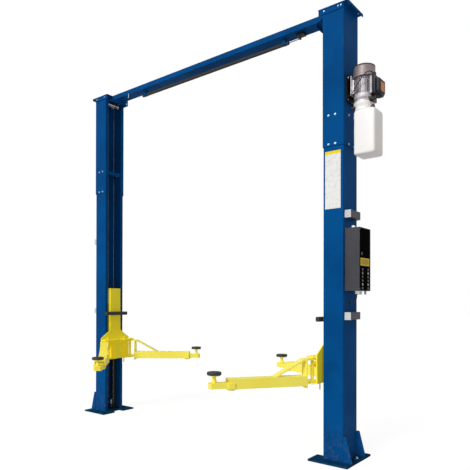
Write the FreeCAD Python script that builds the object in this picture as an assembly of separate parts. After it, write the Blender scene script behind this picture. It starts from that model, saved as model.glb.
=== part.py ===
"""Two post car lift: two open-front posts joined by an overhead beam, a carriage in each post,
two swinging telescopic arms on each carriage, and a power unit and control box on the near post.

Each carriage hangs on a pair of leaf chains that run over a wheel on the piston rod, so it moves
twice as far as the rod. A wire rope over wheels in both posts keeps the carriages level.

Frame: +X runs along the beam from the far post to the near post, which carries the power unit,
+Y runs from the front of the lift to its rear, +Z is up, and the origin is on the floor midway
between the posts. Millimetres. Pieces of a post are drawn for the near side and mirrored.
"""
import FreeCAD, Part
import math
import os

V = FreeCAD.Vector
os.makedirs("parts", exist_ok=True)

# Overall sizes
height = 3700.0
half_span = 1600.0            # from the middle of the lift to the outer face of a post
lift_down = 540.0             # travel of the carriages below the place where they are drawn
lift_up = 1240.0              # and above it
running_gap = 5.0

# Lower post, a folded channel that opens towards the other post
post_depth = 180.0            # along X
post_width = 256.0            # along Y
post_wall = 6.0
post_lip = 37.0
post_top = 2840.0
bend = 3.0                    # inner radius of the folds
drain_half = 12.0
drain_top = 74.0

# Post extension, a sleeve bolted round the top of the post
sleeve_wall = 5.0
sleeve_clear = 0.5
sleeve_bottom = 2560.0
sleeve_lip = 42.0

# Base plate
base_t = 16.0
base_inner = 90.0             # reach beyond the opening, towards the middle of the lift
base_outer = 80.0             # reach beyond the back of the post
base_half = 221.0
notch_half = 60.0
notch_depth = 68.0
anchor_r = 10.0
anchor_inset = 40.0
anchor_rear_y = 36.0
gusset_t = 8.0
gusset_h = 205.0
gusset_top = 24.0

# Top cap
cap_t = 8.0
cap_outer = 42.0
cap_inner = 34.0
cap_side = 9.0
cap_skirt = 48.0
cap_skirt_t = 5.0

# Overhead beam, a tray that carries the rope, and the saddles on the posts that it lies on
beam_h = 50.0
beam_half = 62.0
beam_wall = 4.0
beam_gap = 0.3                # to the edge of each cap
saddle_t = 6.0
saddle_y = 110.0              # half its width
saddle_lip = 30.0             # height of its turned-down edges
saddle_ear = 38.0             # height of the plate beside the beam
saddle_out = 102.0            # reach in front of the post
saddle_way = 24.0             # half width of the notch for the lower wheel

# Carriage
face_gap = 13.0               # between the opening's plane and the back of the face plate
face_t = 10.0
tower_half = 71.0
tower_wall = 8.0
tower_depth = 72.0
tower_top = 1447.0
head_half = 200.0
head_shoulder = 868.0
head_neck = 955.0
lug_t = 12.0
lug_top = 850.0
lug_bottom = 630.0
pivot_in = 70.0               # pivot axis inside the plane of the opening
pivot_y = 182.0
lug_r = 46.0
lug_waist_r = 88.0
lug_waist_in = 60.0           # centre of the waist inside the front of the plate
pin_r = 14.0
pin_head_r = 20.0
pin_head_t = 7.0
pin_foot = 8.0
pin_fit = 0.05
rib_t = 8.0
rib_depth = 57.0
rib_y = 90.0
stiff_half = 45.0
lock_rod_r = 6.0
lock_rod_y = 118.0
lock_rod_in = 12.0            # from the front of the face plate
lock_rod_foot = 58.0          # hangs below the lower lug plate
lock_rod_head = 26.0

# Guide blocks and door guard
block_gap = 1.0
block_seat = 0.3
block_h = 150.0
guard_z = 1133.0
guard_h = 40.0
guard_depth = 34.0
guard_half = 150.0

# Arms
fork_gap = 4.0
fork_t = 12.0
fork_r = 38.0
arm_half = 50.0
arm_h = 80.0
arm_wall = 6.0
arm_bottom = 616.0
plate_at = 60.0
plate_t = 10.0
plate_drop = 18.0
arm_end = 720.0
strap_len = 52.0
strap_t = 8.0
strap_h = 46.0
brace_end = 335.0
brace_t = 9.0
brace_half = 42.0

# Arm extensions
inner_half = 40.0
inner_h = 44.0
inner_wall = 6.0
inner_clear = 0.5
inner_inside = 520.0
nose_len = 42.0
nose_chamfer = 12.0
boss_r = 20.0
boss_top_r = 18.0
boss_h = 24.0
screw_r = 14.0
screw_fit = 0.05
screw_len = 84.0

# Lifting pads
pad_r = 57.0
pad_t = 24.0
pad_top = 752.0
pad_edge = 6.0
pad_dish_r = 36.0
pad_dish = 3.0
pad_cup_t = 6.0
pad_cup_r = 50.0
pad_hub_r = 17.0
pad_hub_h = 10.0

# Hydraulic cylinder inside each post
ram_in = 62.0                 # axis inside the back of the post
ram_y = 86.0
ram_r = 25.0
ram_bore = 20.0
ram_foot_h = 62.0
ram_plug = 20.0
ram_gland = 26.0
ram_gland_r = 28.0
ram_end_gap = 3.0
piston_h = 40.0
rod_r = 16.0
rod_fit = 0.05
port_z = 168.0
port_r = 9.0
port_len = 13.0

# Chain wheel on the rod, and the two leaf chains beside each other on it
chain_pitch = 25.4
chain_link = 14.0             # height of a link plate
chain_waist = 9.0
chain_t = 8.0
chain_gap = 5.0               # between the two chains
chain_wheel_r = 40.0          # to the middle of the chain
wheel_flange_r = 44.0
wheel_flange_t = 3.5
wheel_axle_r = 11.0
yoke_t = 6.0
yoke_plate = 16.0
anchor_h = 82.0
hanger_z = 690.0              # where the chain is held on the carriage
hanger_h = 38.0
hanger_past = 33.0            # end of the carriage's chain above the tower

# Wire rope that keeps the carriages level
rope_r = 4.0
rope_in = 30.0                # full-height run, inside the back of the post
rope_y = 36.0
rope_lane = 7.5               # the two runs of a post stand this far either side of rope_y
rope_wheel_r = 40.0
wheel_rim = 3.0
wheel_t = 13.0
rope_axle_r = 9.0
floor_wheel_z = 100.0
wheel_cheek_t = 6.0
upper_wheel_drop = 60.0       # axes of the rope wheels below the top of the lift
lower_wheel_drop = 78.0
clamp_t = 8.0
clamp_h = 36.0
clamp_low = 90.0              # above the bottom of the carriage

# Safety bar under the beam
bar_drop = 46.0               # axis of the bar below the beam
bar_r = 16.0
bar_far_in = 493.5            # ends of the bar from the faces of the sleeves
bar_near_in = 405.5
bar_pin_r = 4.0
link_r = 3.5
hanger_in = 46.0              # from each end of the bar
hanger_half = 13.0
hanger_t = 4.0
switch_in = 319.5
switch_len = 80.0
switch_half = 22.0
switch_h = 30.0
lever_in = 289.5
lever_r = 9.0

# Arm directions in plan, in degrees from +X, and distance from pivot to pad
arms = {
    "near_front": (1, -1, -126.5, 824.0),
    "near_rear": (1, 1, 153.0, 893.0),
    "far_front": (-1, -1, -42.0, 886.0),
    "far_rear": (-1, 1, 36.0, 800.0),
}

# Power unit and control box
unit_out = 122.0              # motor axis from the back of the post
unit_y = 0.0
tank_shift = 34.0             # middle of the tank beyond the motor axis
tank_half_x = 89.0
tank_half_y = 74.0
tank_corner = 24.0
tank_bottom = 2435.0
tank_top = 2798.0
neck_r = 54.0
neck_h = 32.0
pump_flange_r = 70.0
pump_flange_t = 16.0
pump_block_half = 50.0
pump_block_h = 40.0
adapter_r = 74.0
adapter_h = 39.0
motor_r = 78.0
motor_h = 162.0
fin_count = 28
fin_h = 9.0
fin_t = 3.0
fan_r = 86.0
fan_h = 97.0
mount_t = 8.0
mount_half = 66.0
mount_h = 150.0
saddle_half = 44.0
terminal_t = 34.0
terminal_drum = 44.0
terminal_drum_half = 56.0
terminal_drop = 22.0          # the drum hangs this far below the box
terminal_half = 62.0
terminal_h = 152.0
control_depth = 126.0
control_front = -100.0
control_rear = 110.0
control_bottom = 1385.0
control_top = 1890.0
control_rim = 5.0
button_r = 8.0
button_len = 9.0
button_in = 70.0
button_in_rear = 45.0
button_up = 52.0
button_pitch = 46.0
selector_down = 130.0
selector_r = 22.0
selector_len = 16.0
cover_z = (1153.0, 1973.0)
cover_h = 60.0
cover_depth = 55.0
cover_half = 105.0
cover_chamfer = 16.0
latch_hole_y = 46.0
latch_hole_half = 15.0

opening = half_span - post_depth      # plane of the post's open front
post_half = post_width / 2
back_in = half_span - post_wall       # inner face of the post's back
grow = sleeve_clear + sleeve_wall
sleeve_out = half_span + grow
sleeve_open = opening - grow
under_cap = height - cap_t
beam_low = height - beam_h
upper_wheel_z = height - upper_wheel_drop
lower_wheel_z = height - lower_wheel_drop
bar_z = beam_low - bar_drop
bar_far = -sleeve_open + bar_far_in
bar_near = sleeve_open - bar_near_in
switch_x = sleeve_open - switch_in
lever_x = sleeve_open - lever_in
face_front = opening - face_gap - face_t
tower_back = opening - face_gap + tower_depth
pivot_x = opening - pivot_in
ram_x = half_span - ram_in
rope_x = half_span - rope_in
rope_wheel_x = rope_x - rope_wheel_r
rope_inner_x = rope_x - 2 * rope_wheel_r
top_wheel_x = rope_inner_x - rope_wheel_r
ram_floor = base_t + ram_foot_h + ram_plug
ram_stroke = (lift_down + lift_up) / 2
gland_low = ram_floor + ram_stroke + piston_h + 2 * ram_end_gap
gland_top = gland_low + ram_gland
rod_bottom = ram_floor + ram_end_gap + lift_down / 2
yoke_low = gland_top + running_gap + lift_down / 2
chain_wheel_z = yoke_low + yoke_plate + running_gap + wheel_flange_r
chain_out_x = ram_x + chain_wheel_r
chain_in_x = ram_x - chain_wheel_r
still_lane = ram_y - (chain_t + chain_gap) / 2      # chain held by the floor and the carriage
moving_lane = ram_y + (chain_t + chain_gap) / 2     # chain that turns over the wheel


def box(x0, x1, y0, y1, z0, z1):
    return Part.makeBox(x1 - x0, y1 - y0, z1 - z0, V(x0, y0, z0))


def face_of(points):
    return Part.Face(Part.makePolygon(points + [points[0]]))


def prism_z(points, z0, z1):
    return face_of([V(x, y, z0) for x, y in points]).extrude(V(0, 0, z1 - z0))


def prism_y(points, y0, y1):
    return face_of([V(x, y0, z) for x, z in points]).extrude(V(0, y1 - y0, 0))


def prism_x(points, x0, x1):
    return face_of([V(x0, y, z) for y, z in points]).extrude(V(x1 - x0, 0, 0))


def cylinder(x, y, z, r, h, axis=(0, 0, 1)):
    return Part.makeCylinder(r, h, V(x, y, z), V(*axis))


def turned(x, y, outline):
    """Solid of revolution about an upright axis, from (radius, height) points."""
    profile = face_of([V(x + r, y, z) for r, z in outline])
    return profile.revolve(V(x, y, 0), V(0, 0, 1), 360)


def turned_y(x, z, outline):
    """Solid of revolution about an axis along Y, from (radius, y) points."""
    profile = face_of([V(x + r, y, z) for r, y in outline])
    return profile.revolve(V(x, 0, z), V(0, 1, 0), 360)


def fused(shapes):
    whole = shapes[0].multiFuse(shapes[1:])
    return whole.removeSplitter()


def together(shapes):
    return Part.makeCompound(shapes)


def upright_edges(shape, places, tol=0.01):
    """Edges along Z that stand on one of the given (x, y) places."""
    found = []
    for edge in shape.Edges:
        a = edge.Vertexes[0].Point
        b = edge.Vertexes[-1].Point
        upright = abs(a.x - b.x) < tol and abs(a.y - b.y) < tol
        if upright and any(abs(a.x - x) < tol and abs(a.y - y) < tol for x, y in places):
            found.append(edge)
    return found


def channel(open_x, back_x, half, wall, lip, z0, z1):
    """A folded channel with inturned lips that opens towards -X."""
    i = half - wall
    points = [
        (open_x, -half + lip), (open_x, -half), (back_x, -half), (back_x, half),
        (open_x, half), (open_x, half - lip), (open_x + wall, half - lip),
        (open_x + wall, i), (back_x - wall, i), (back_x - wall, -i),
        (open_x + wall, -i), (open_x + wall, -half + lip),
    ]
    solid = prism_z(points, z0, z1)
    outer = [(open_x, -half), (back_x, -half), (back_x, half), (open_x, half)]
    solid = solid.makeFillet(bend + wall, upright_edges(solid, outer))
    corners = [(open_x + wall, i), (back_x - wall, i), (back_x - wall, -i), (open_x + wall, -i)]
    return solid.makeFillet(bend, upright_edges(solid, corners))


def mirrored(shape):
    return shape.mirror(V(0, 0, 0), V(1, 0, 0))


def lanes(side):
    """Y of the full-height rope and of the inner rope. They swap places from post to post."""
    return rope_y + side * rope_lane, rope_y - side * rope_lane


def anchor_places():
    """Four corner anchors and one behind the post."""
    x0 = opening - base_inner + anchor_inset
    x1 = half_span + base_outer - anchor_inset
    y = base_half - anchor_inset
    return [(x0, -y), (x0, y), (x1, -y), (x1, y), (x1, anchor_rear_y)]


def base_plate():
    x0 = opening - base_inner
    x1 = half_span + base_outer
    points = [
        (x0, -base_half), (x1, -base_half), (x1, base_half), (x0, base_half),
        (x0, notch_half), (x0 + notch_depth, notch_half),
        (x0 + notch_depth, -notch_half), (x0, -notch_half),
    ]
    plate = prism_z(points, 0, base_t)
    for x, y in anchor_places():
        plate = plate.cut(cylinder(x, y, -1, anchor_r, base_t + 2))
    return plate


def base_gussets():
    foot = half_span + base_outer - 4
    outline = [
        (half_span, base_t), (foot, base_t), (foot, base_t + 10),
        (half_span + gusset_top, base_t + gusset_h), (half_span, base_t + gusset_h),
    ]
    front = prism_y(outline, -post_half, -post_half + gusset_t)
    rear = prism_y(outline, post_half - gusset_t, post_half)
    return together([front, rear])


def post():
    column = channel(opening, half_span, post_half, post_wall, post_lip, base_t, post_top)
    drain_r = drain_half
    drain = box(back_in - 1, half_span + 1, -drain_half, drain_half, base_t - 1, drain_top - drain_r)
    arch = cylinder(back_in - 1, 0, drain_top - drain_r, drain_r, post_wall + 2, (1, 0, 0))
    column = column.cut(drain).cut(arch)
    for z in cover_z:
        y0 = latch_hole_y - latch_hole_half
        y1 = latch_hole_y + latch_hole_half
        column = column.cut(box(back_in - 1, half_span + 1, y0, y1, z + 6, z + cover_h - 6))
    return column


def head_plate():
    """Plate that closes the top of the post, with a turned-down front edge between the lips."""
    y = post_half - post_wall - bend - 0.5
    z = post_top - 20
    x0 = opening + post_wall + 0.5
    x1 = back_in - bend - 0.5
    top = box(x0, x1, -y, y, z - 8, z)
    front_half = post_half - post_lip - 1
    front = box(opening, x0, -front_half, front_half, z - 35, z)
    lug = box(x0, x0 + 8, -y, y, z - 35, z)
    wide = rope_lane + rope_r + running_gap
    slot = box(rope_inner_x - 10, x1 + 1, rope_y - wide, rope_y + wide, z - 9, z + 1)
    return fused([top, front, lug]).cut(slot)


def extension():
    return channel(
        sleeve_open, sleeve_out, post_half + grow, sleeve_wall, sleeve_lip,
        sleeve_bottom, under_cap,
    )


def cap():
    """Top plate with front and rear skirts that hang outside the sleeve."""
    y = post_half + grow + cap_side
    x0 = sleeve_open - cap_inner
    x1 = sleeve_out + cap_outer
    plate = box(x0, x1, -y, y, under_cap, height)
    yi = post_half + grow + 0.3
    low = height - cap_skirt
    skirt_front = box(x0, half_span, -yi - cap_skirt_t, -yi, low, under_cap)
    skirt_rear = box(x0, half_span, yi, yi + cap_skirt_t, low, under_cap)
    edge = box(x1 - cap_skirt_t, x1, -y, y, under_cap - 14, under_cap)
    return fused([plate, skirt_front, skirt_rear, edge])


def beam():
    """Folded tray, open at the top, between the caps."""
    end = sleeve_open - cap_inner - beam_gap
    h = beam_half
    w = beam_wall
    outline = [
        (-h, height), (-h, beam_low), (h, beam_low), (h, height),
        (h - w, height), (h - w, beam_low + w), (-h + w, beam_low + w), (-h + w, height),
    ]
    return prism_x(outline, -end, end)


def beam_saddle():
    """Pan in front of the sleeve that the end of the beam lies on, with a plate beside the beam."""
    x0 = sleeve_open - saddle_out
    x1 = sleeve_open
    z1 = beam_low
    z0 = z1 - saddle_t - saddle_lip
    t = saddle_t
    plan = [(x0, -beam_half), (x1, -saddle_y), (x1, saddle_y), (x0, saddle_y)]
    pan = prism_z(plan, z1 - t, z1)
    lip = box(x0, x0 + t, -beam_half, saddle_y, z0, z1)
    ear = box(x0, x0 + t, beam_half + beam_gap, saddle_y, z1 - t, z1 + saddle_ear)
    side = box(x0, x1, saddle_y - t, saddle_y, z0, z1)
    notch = box(x1 - 20, x1 + 1, rope_y - saddle_way, rope_y + saddle_way, z0 - 1, z1 + 1)
    return fused([pan, lip, ear, side]).cut(notch)


def rope_wheel(x, y, z):
    """Grooved wheel for the rope, with its axis along Y."""
    rim = rope_wheel_r + wheel_rim
    root = rope_wheel_r - rope_r - 0.2
    half = wheel_t / 2
    outline = [
        (0, y - half), (rim, y - half), (rim, y - half + 0.8), (root, y - rope_r * 0.8),
        (root, y + rope_r * 0.8), (rim, y + half - 0.8), (rim, y + half), (0, y + half),
    ]
    return turned_y(x, z, outline)


def cable_wheels(side):
    """Two wheels on axles across the top of the post, and one on a stand at the floor."""
    full_y, inner_y = lanes(side)
    half = post_half + sleeve_clear
    wheels = []
    for x, y, z in ((rope_wheel_x, full_y, upper_wheel_z), (top_wheel_x, inner_y, lower_wheel_z)):
        axle = cylinder(x, -half, z, rope_axle_r, 2 * half, (0, 1, 0))
        hub = cylinder(x, y - wheel_t / 2 - 4, z, rope_axle_r + 7, wheel_t + 8, (0, 1, 0))
        wheels.append(fused([rope_wheel(x, y, z), hub, axle]))
    x = rope_wheel_x
    z = floor_wheel_z
    inner = wheel_t / 2 + 2
    outer = inner + wheel_cheek_t
    axle = cylinder(x, rope_y - outer, z, rope_axle_r, 2 * outer, (0, 1, 0))
    stand = [rope_wheel(x, rope_y, z), axle]
    for y0, y1 in ((rope_y - outer, rope_y - inner), (rope_y + inner, rope_y + outer)):
        stand.append(box(x - 16, x + 16, y0, y1, base_t, z + 16))
    stand = fused(stand)
    stand.rotate(V(x, rope_y, 0), V(0, 0, 1), floor_turn(side))
    return together(wheels + [stand])


def floor_turn(side):
    """Angle of the floor wheel in plan, so that it meets both runs of the rope."""
    full_y, inner_y = lanes(side)
    return math.degrees(math.atan2(full_y - inner_y, rope_x - rope_inner_x))


def arc_rope(centre, r, start, end, turn=0.0):
    """Rope round a wheel in the XZ plane, between two angles, turned in plan about the wheel."""
    section = Part.Face(Part.Wire(Part.makeCircle(rope_r, V(r, 0, 0), V(0, 0, 1))))
    bow = section.revolve(V(0, 0, 0), V(0, -1, 0), end - start)
    bow.rotate(V(0, 0, 0), V(0, -1, 0), start)
    bow.rotate(V(0, 0, 0), V(0, 0, 1), turn)
    bow.translate(centre)
    return bow


def fall():
    """Angle at which the runs inside the beam fall from one post to the other."""
    return math.atan2(upper_wheel_z - lower_wheel_z, rope_wheel_x + top_wheel_x)


def rope_run(start, end):
    way = end - start
    return Part.makeCylinder(rope_r, way.Length, start, way)


def post_rope(side):
    """Both upright runs of a post, with the bends over its three wheels."""
    full_y, inner_y = lanes(side)
    floor_r = math.hypot(rope_x - rope_inner_x, full_y - inner_y) / 2
    pieces = [
        rope_run(V(rope_x, full_y, floor_wheel_z), V(rope_x, full_y, upper_wheel_z)),
        rope_run(V(rope_inner_x, inner_y, floor_wheel_z), V(rope_inner_x, inner_y, lower_wheel_z)),
        arc_rope(V(rope_wheel_x, rope_y, floor_wheel_z), floor_r, 180, 360, floor_turn(side)),
        arc_rope(V(rope_wheel_x, full_y, upper_wheel_z), rope_wheel_r, 0, 90 + math.degrees(fall())),
        arc_rope(V(top_wheel_x, inner_y, lower_wheel_z), rope_wheel_r, 0, 90 - math.degrees(fall())),
    ]
    return pieces


def cross_ropes():
    """The two runs inside the beam, each from an upper wheel to the other post's lower wheel."""
    dx = rope_wheel_r * math.sin(fall())
    dz = rope_wheel_r * math.cos(fall())
    near_y, far_y = lanes(1)
    high = upper_wheel_z + dz
    low = lower_wheel_z + dz
    return [
        rope_run(V(rope_wheel_x - dx, near_y, high), V(-top_wheel_x - dx, near_y, low)),
        rope_run(V(-rope_wheel_x + dx, far_y, high), V(top_wheel_x + dx, far_y, low)),
    ]


def ram_barrel():
    """Hydraulic cylinder on its foot behind the carriage, with a gland ring and a port."""
    z0 = base_t + ram_foot_h
    half = ram_gland_r
    foot = box(ram_x - half, ram_x + half, ram_y - half, ram_y + half, base_t, z0)
    barrel = cylinder(ram_x, ram_y, z0, ram_r, gland_low - z0)
    gland = cylinder(ram_x, ram_y, gland_low, ram_gland_r, ram_gland)
    port = cylinder(ram_x, ram_y - ram_r - port_len, port_z, port_r, port_len + 3, (0, 1, 0))
    whole = fused([foot, barrel, gland, port])
    whole = whole.cut(cylinder(ram_x, ram_y, ram_floor, ram_bore, gland_low - ram_floor))
    return whole.cut(cylinder(ram_x, ram_y, gland_low - 1, rod_r + rod_fit, ram_gland + 2))


def ram_rod():
    """Rod with its piston, the yoke on its top and the chain wheel in the yoke."""
    piston = cylinder(ram_x, ram_y, rod_bottom, ram_bore - 0.5, piston_h)
    shank = cylinder(ram_x, ram_y, rod_bottom, rod_r, yoke_low + 1 - rod_bottom)
    half = chain_t + chain_gap / 2 + wheel_flange_t + 1.5
    out = half + yoke_t
    plate = box(ram_x - 24, ram_x + 24, ram_y - out, ram_y + out, yoke_low, yoke_low + yoke_plate)
    cheek_top = chain_wheel_z + wheel_axle_r + 9
    cheek = [
        (ram_x - 24, yoke_low), (ram_x + 24, yoke_low), (ram_x + 24, chain_wheel_z - 14),
        (ram_x + 13, cheek_top), (ram_x - 13, cheek_top), (ram_x - 24, chain_wheel_z - 14),
    ]
    front = prism_y(cheek, ram_y - out, ram_y - half)
    rear = prism_y(cheek, ram_y + half, ram_y + out)
    axle = cylinder(ram_x, ram_y - out - 3, chain_wheel_z, wheel_axle_r, 2 * out + 6, (0, 1, 0))
    return fused([piston, shank, plate, front, rear, axle, chain_wheel()])


def chain_wheel():
    """Roller that the moving chain lies on, flanged outside it and slim beside the still chain."""
    half = chain_t + chain_gap / 2 + 0.5
    seat = chain_wheel_r - chain_link / 2 - 0.3
    low = seat - running_gap - 1
    step = ram_y + chain_gap / 2 - 0.5
    flange = half + wheel_flange_t
    outline = [
        (0, ram_y - flange), (low, ram_y - flange), (low, step), (seat, step), (seat, ram_y + half),
        (wheel_flange_r, ram_y + half), (wheel_flange_r, ram_y + flange), (0, ram_y + flange),
    ]
    return turned_y(ram_x, chain_wheel_z, outline)


def chain_strand(x, lane, z0, z1):
    """Straight run of leaf chain: link plates side by side, narrower between the pins."""
    tall = chain_link / 2
    waist = chain_waist / 2
    count = round((z1 - z0) / chain_pitch)
    pitch = (z1 - z0) / count
    left = [(x - tall, z0)]
    right = [(x + tall, z0)]
    for n in range(count):
        z = z0 + n * pitch
        for share, half in ((0.3, tall), (0.5, waist), (0.7, tall)):
            left.append((x - half, z + share * pitch))
            right.append((x + half, z + share * pitch))
    left.append((x - tall, z1))
    right.append((x + tall, z1))
    return prism_y(left + right[::-1], lane - chain_t / 2, lane + chain_t / 2)


def floor_chain():
    """Chain held by the floor, up to the lowest place of the wheel, on its anchor block."""
    z0 = base_t + anchor_h
    strand = chain_strand(chain_out_x, still_lane, z0, chain_wheel_z - lift_down / 2)
    half = chain_link / 2
    block = box(chain_out_x - half, chain_out_x + half, ram_y - 14, ram_y + 14, base_t, z0)
    return fused([strand, block])


def wheel_chain():
    """Chain that turns over the wheel, with its two free runs."""
    long_end = chain_wheel_z - ram_stroke
    short_end = tower_top + hanger_past - lift_down / 2
    outer = chain_wheel_r + chain_link / 2
    inner = chain_wheel_r - chain_link / 2
    y0 = moving_lane - chain_t / 2
    y1 = moving_lane + chain_t / 2
    profile = face_of([V(ram_x + inner, y0, chain_wheel_z), V(ram_x + outer, y0, chain_wheel_z),
                       V(ram_x + outer, y1, chain_wheel_z), V(ram_x + inner, y1, chain_wheel_z)])
    bow = profile.revolve(V(ram_x, 0, chain_wheel_z), V(0, -1, 0), 180)
    return fused([
        bow,
        chain_strand(chain_out_x, moving_lane, long_end, chain_wheel_z),
        chain_strand(chain_in_x, moving_lane, short_end, chain_wheel_z),
    ])


def carriage_chain():
    """Chain held by the carriage, behind its tower."""
    return chain_strand(chain_in_x, still_lane, hanger_z, tower_top + hanger_past)


def face_plate_outline():
    return [
        (-head_half, lug_bottom), (head_half, lug_bottom), (head_half, head_shoulder),
        (tower_half + 4, head_neck), (tower_half, tower_top), (-tower_half, tower_top),
        (-tower_half - 4, head_neck), (-head_half, head_shoulder),
    ]


def carriage(side):
    """Face plate with shoulders, a box tower that runs inside the post, and the pivot lugs."""
    back = face_front + face_t
    x1 = tower_back
    w = tower_wall
    plate = prism_x(face_plate_outline(), face_front, back)
    sides = [
        box(back, x1, -tower_half, -tower_half + w, lug_bottom, tower_top),
        box(back, x1, tower_half - w, tower_half, lug_bottom, tower_top),
        box(x1 - w, x1, -tower_half, tower_half, lug_bottom, tower_top),
    ]
    lugs = [
        lug_plate(lug_top - lug_t, lug_top),
        lug_plate(lug_bottom, lug_bottom + lug_t),
    ]
    z0, z1 = lug_bottom + 1, lug_top - 1
    rib_x = face_front - rib_depth
    ribs = [box(rib_x, rib_x + rib_t, -stiff_half, stiff_half, z0, z1)]
    for y in (-rib_y, -stiff_half + rib_t / 2, stiff_half - rib_t / 2, rib_y):
        ribs.append(box(rib_x, face_front, y - rib_t / 2, y + rib_t / 2, z0, z1))
    hanger_end = chain_in_x + chain_link / 2
    lane_end = still_lane + chain_t / 2
    hanger = box(x1 - 1, hanger_end, tower_half - w, lane_end, hanger_z - hanger_h, hanger_z)
    return fused([plate] + sides + lugs + ribs + [hanger] + rope_clamps(side))


def rope_clamps(side):
    """Pairs of ears on the tower's back that stand either side of the inner rope."""
    inner_y = lanes(side)[1]
    gap = rope_r + running_gap
    ears = []
    for z in (lug_bottom + clamp_low, tower_top - 20 - clamp_h):
        for y in (inner_y - gap - clamp_t, inner_y + gap):
            ears.append(box(tower_back - 1, rope_inner_x + 8, y, y + clamp_t, z, z + clamp_h))
    return ears


def lug_plate(z0, z1):
    """Plan of a pivot plate: straight along the face plate, round at both pivots."""
    x = pivot_x
    plate = box(x, face_front + 1, -head_half, head_half, z0, z1)
    nose = box(x - lug_r, x, -pivot_y, pivot_y, z0, z1)
    ends = [cylinder(x, y, z0, lug_r, z1 - z0) for y in (-pivot_y, pivot_y)]
    whole = fused([plate, nose] + ends)
    for y in (-pivot_y, pivot_y):
        whole = whole.cut(cylinder(x, y, z0 - 1, pin_r + pin_fit, z1 - z0 + 2))
        sign = math.copysign(1, y)
        rod = cylinder(face_front - lock_rod_in, sign * lock_rod_y, z0 - 1, lock_rod_r + 0.3, z1 - z0 + 2)
        whole = whole.cut(rod)
    waist = cylinder(x - lug_r - lug_waist_in, 0, z0 - 1, lug_waist_r, z1 - z0 + 2)
    return whole.cut(waist)


def arm_pins():
    """Pivot pins with their heads, and the lock rod beside each with its knob."""
    pieces = []
    for sign in (-1, 1):
        y = sign * pivot_y
        z0 = lug_bottom - pin_foot
        shank = cylinder(pivot_x, y, z0, pin_r, lug_top - z0)
        head = cylinder(pivot_x, y, lug_top, pin_head_r, pin_head_t)
        pieces.append(fused([shank, head]))
        x = face_front - lock_rod_in
        z0 = lug_bottom - lock_rod_foot
        rod = cylinder(x, sign * lock_rod_y, z0, lock_rod_r, lug_top + lock_rod_head - z0)
        knob = cylinder(x, sign * lock_rod_y, lug_top + lock_rod_head - 12, lock_rod_r + 4, 12)
        collar = cylinder(x, sign * lock_rod_y, lug_top, lock_rod_r + 4, 5)
        pieces.append(fused([rod, knob, collar]))
    return together(pieces)


def guide_blocks():
    """Plastic blocks behind the post's lips."""
    x0 = opening + post_wall + block_gap
    x1 = tower_back - 2
    y0 = tower_half + block_seat
    y1 = post_half - post_wall - block_gap
    blocks = []
    for z in (lug_bottom + 20, tower_top - 20 - block_h):
        blocks.append(box(x0, x1, y0, y1, z, z + block_h))
        blocks.append(box(x0, x1, -y1, -y0, z, z + block_h))
    return together(blocks)


def door_guard():
    """Rubber bar across the front of the tower, rounded on its front edges."""
    x1 = face_front - 0.3
    x0 = x1 - guard_depth
    z0 = guard_z
    z1 = guard_z + guard_h
    c = 7.0
    outline = [(x1, z0), (x1, z1), (x0 + c, z1), (x0, z1 - c), (x0, z0 + c), (x0 + c, z0)]
    return prism_y(outline, -guard_half, guard_half)


def arm_parts():
    """One arm along +X from its pivot: fork, end plate, box, strap under its end and brace."""
    top1 = lug_top - lug_t - fork_gap
    top0 = top1 - fork_t
    low0 = lug_bottom + lug_t + fork_gap
    low1 = low0 + fork_t
    x_plate = plate_at
    x_box = plate_at + plate_t
    arm_top = arm_bottom + arm_h

    def fork(z0, z1, reach):
        tongue = [(0, -fork_r), (reach, -arm_half), (reach, arm_half), (0, fork_r)]
        flat = fused([prism_z(tongue, z0, z1), cylinder(0, 0, z0, fork_r, z1 - z0)])
        return flat.cut(cylinder(0, 0, z0 - 1, pin_r + pin_fit, z1 - z0 + 2))

    end_plate = box(x_plate, x_box, -arm_half, arm_half, arm_bottom - plate_drop, top0)
    outer = box(x_box, arm_end, -arm_half, arm_half, arm_bottom, arm_top)
    strap_half = arm_half + strap_t
    strap_low = arm_bottom - strap_t
    cut = strap_t + 2
    strap = prism_x(
        [
            (-strap_half, arm_bottom + strap_h), (-strap_half, strap_low + cut),
            (-strap_half + cut, strap_low), (strap_half - cut, strap_low),
            (strap_half, strap_low + cut), (strap_half, arm_bottom + strap_h),
        ],
        arm_end - strap_len, arm_end,
    )
    brace = prism_y(
        [
            (x_box - 1, top1), (x_box - 1, top0), (x_box + 8, top0 + 1), (brace_end - 16, arm_top),
            (brace_end, arm_top - 1), (brace_end, arm_top + 3), (x_box + 14, top1),
        ],
        -brace_half, brace_half,
    )
    whole = fused([fork(top0, top1, x_box), fork(low0, low1, x_plate), end_plate, outer, strap, brace])
    hollow = box(
        x_box, arm_end + 1, -arm_half + arm_wall, arm_half - arm_wall,
        arm_bottom + arm_wall, arm_top - arm_wall,
    )
    return whole.cut(hollow)


def arm_inner(reach):
    """Arm extension: a tube inside the arm, with a closed nose and a boss for the pad screw."""
    z0 = arm_bottom + arm_wall + inner_clear
    z1 = z0 + inner_h
    tip = reach + nose_len
    tail = reach - inner_inside
    half = inner_half
    c = nose_chamfer
    plan = [(tail, -half), (tip - c, -half), (tip, -half + c), (tip, half - c), (tip - c, half), (tail, half)]
    tube = prism_z(plan, z0, z1)
    inside = box(
        tail - 1, reach - inner_half, -half + inner_wall, half - inner_wall,
        z0 + inner_wall, z1 - inner_wall,
    )
    boss = turned(reach, 0, [(0, z1 - 1), (boss_r, z1 - 1), (boss_r, z1), (boss_top_r, z1 + boss_h), (0, z1 + boss_h)])
    whole = fused([tube.cut(inside), boss])
    return whole.cut(cylinder(reach, 0, z0 - 1, screw_r + screw_fit, inner_h + boss_h + 2))


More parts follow.
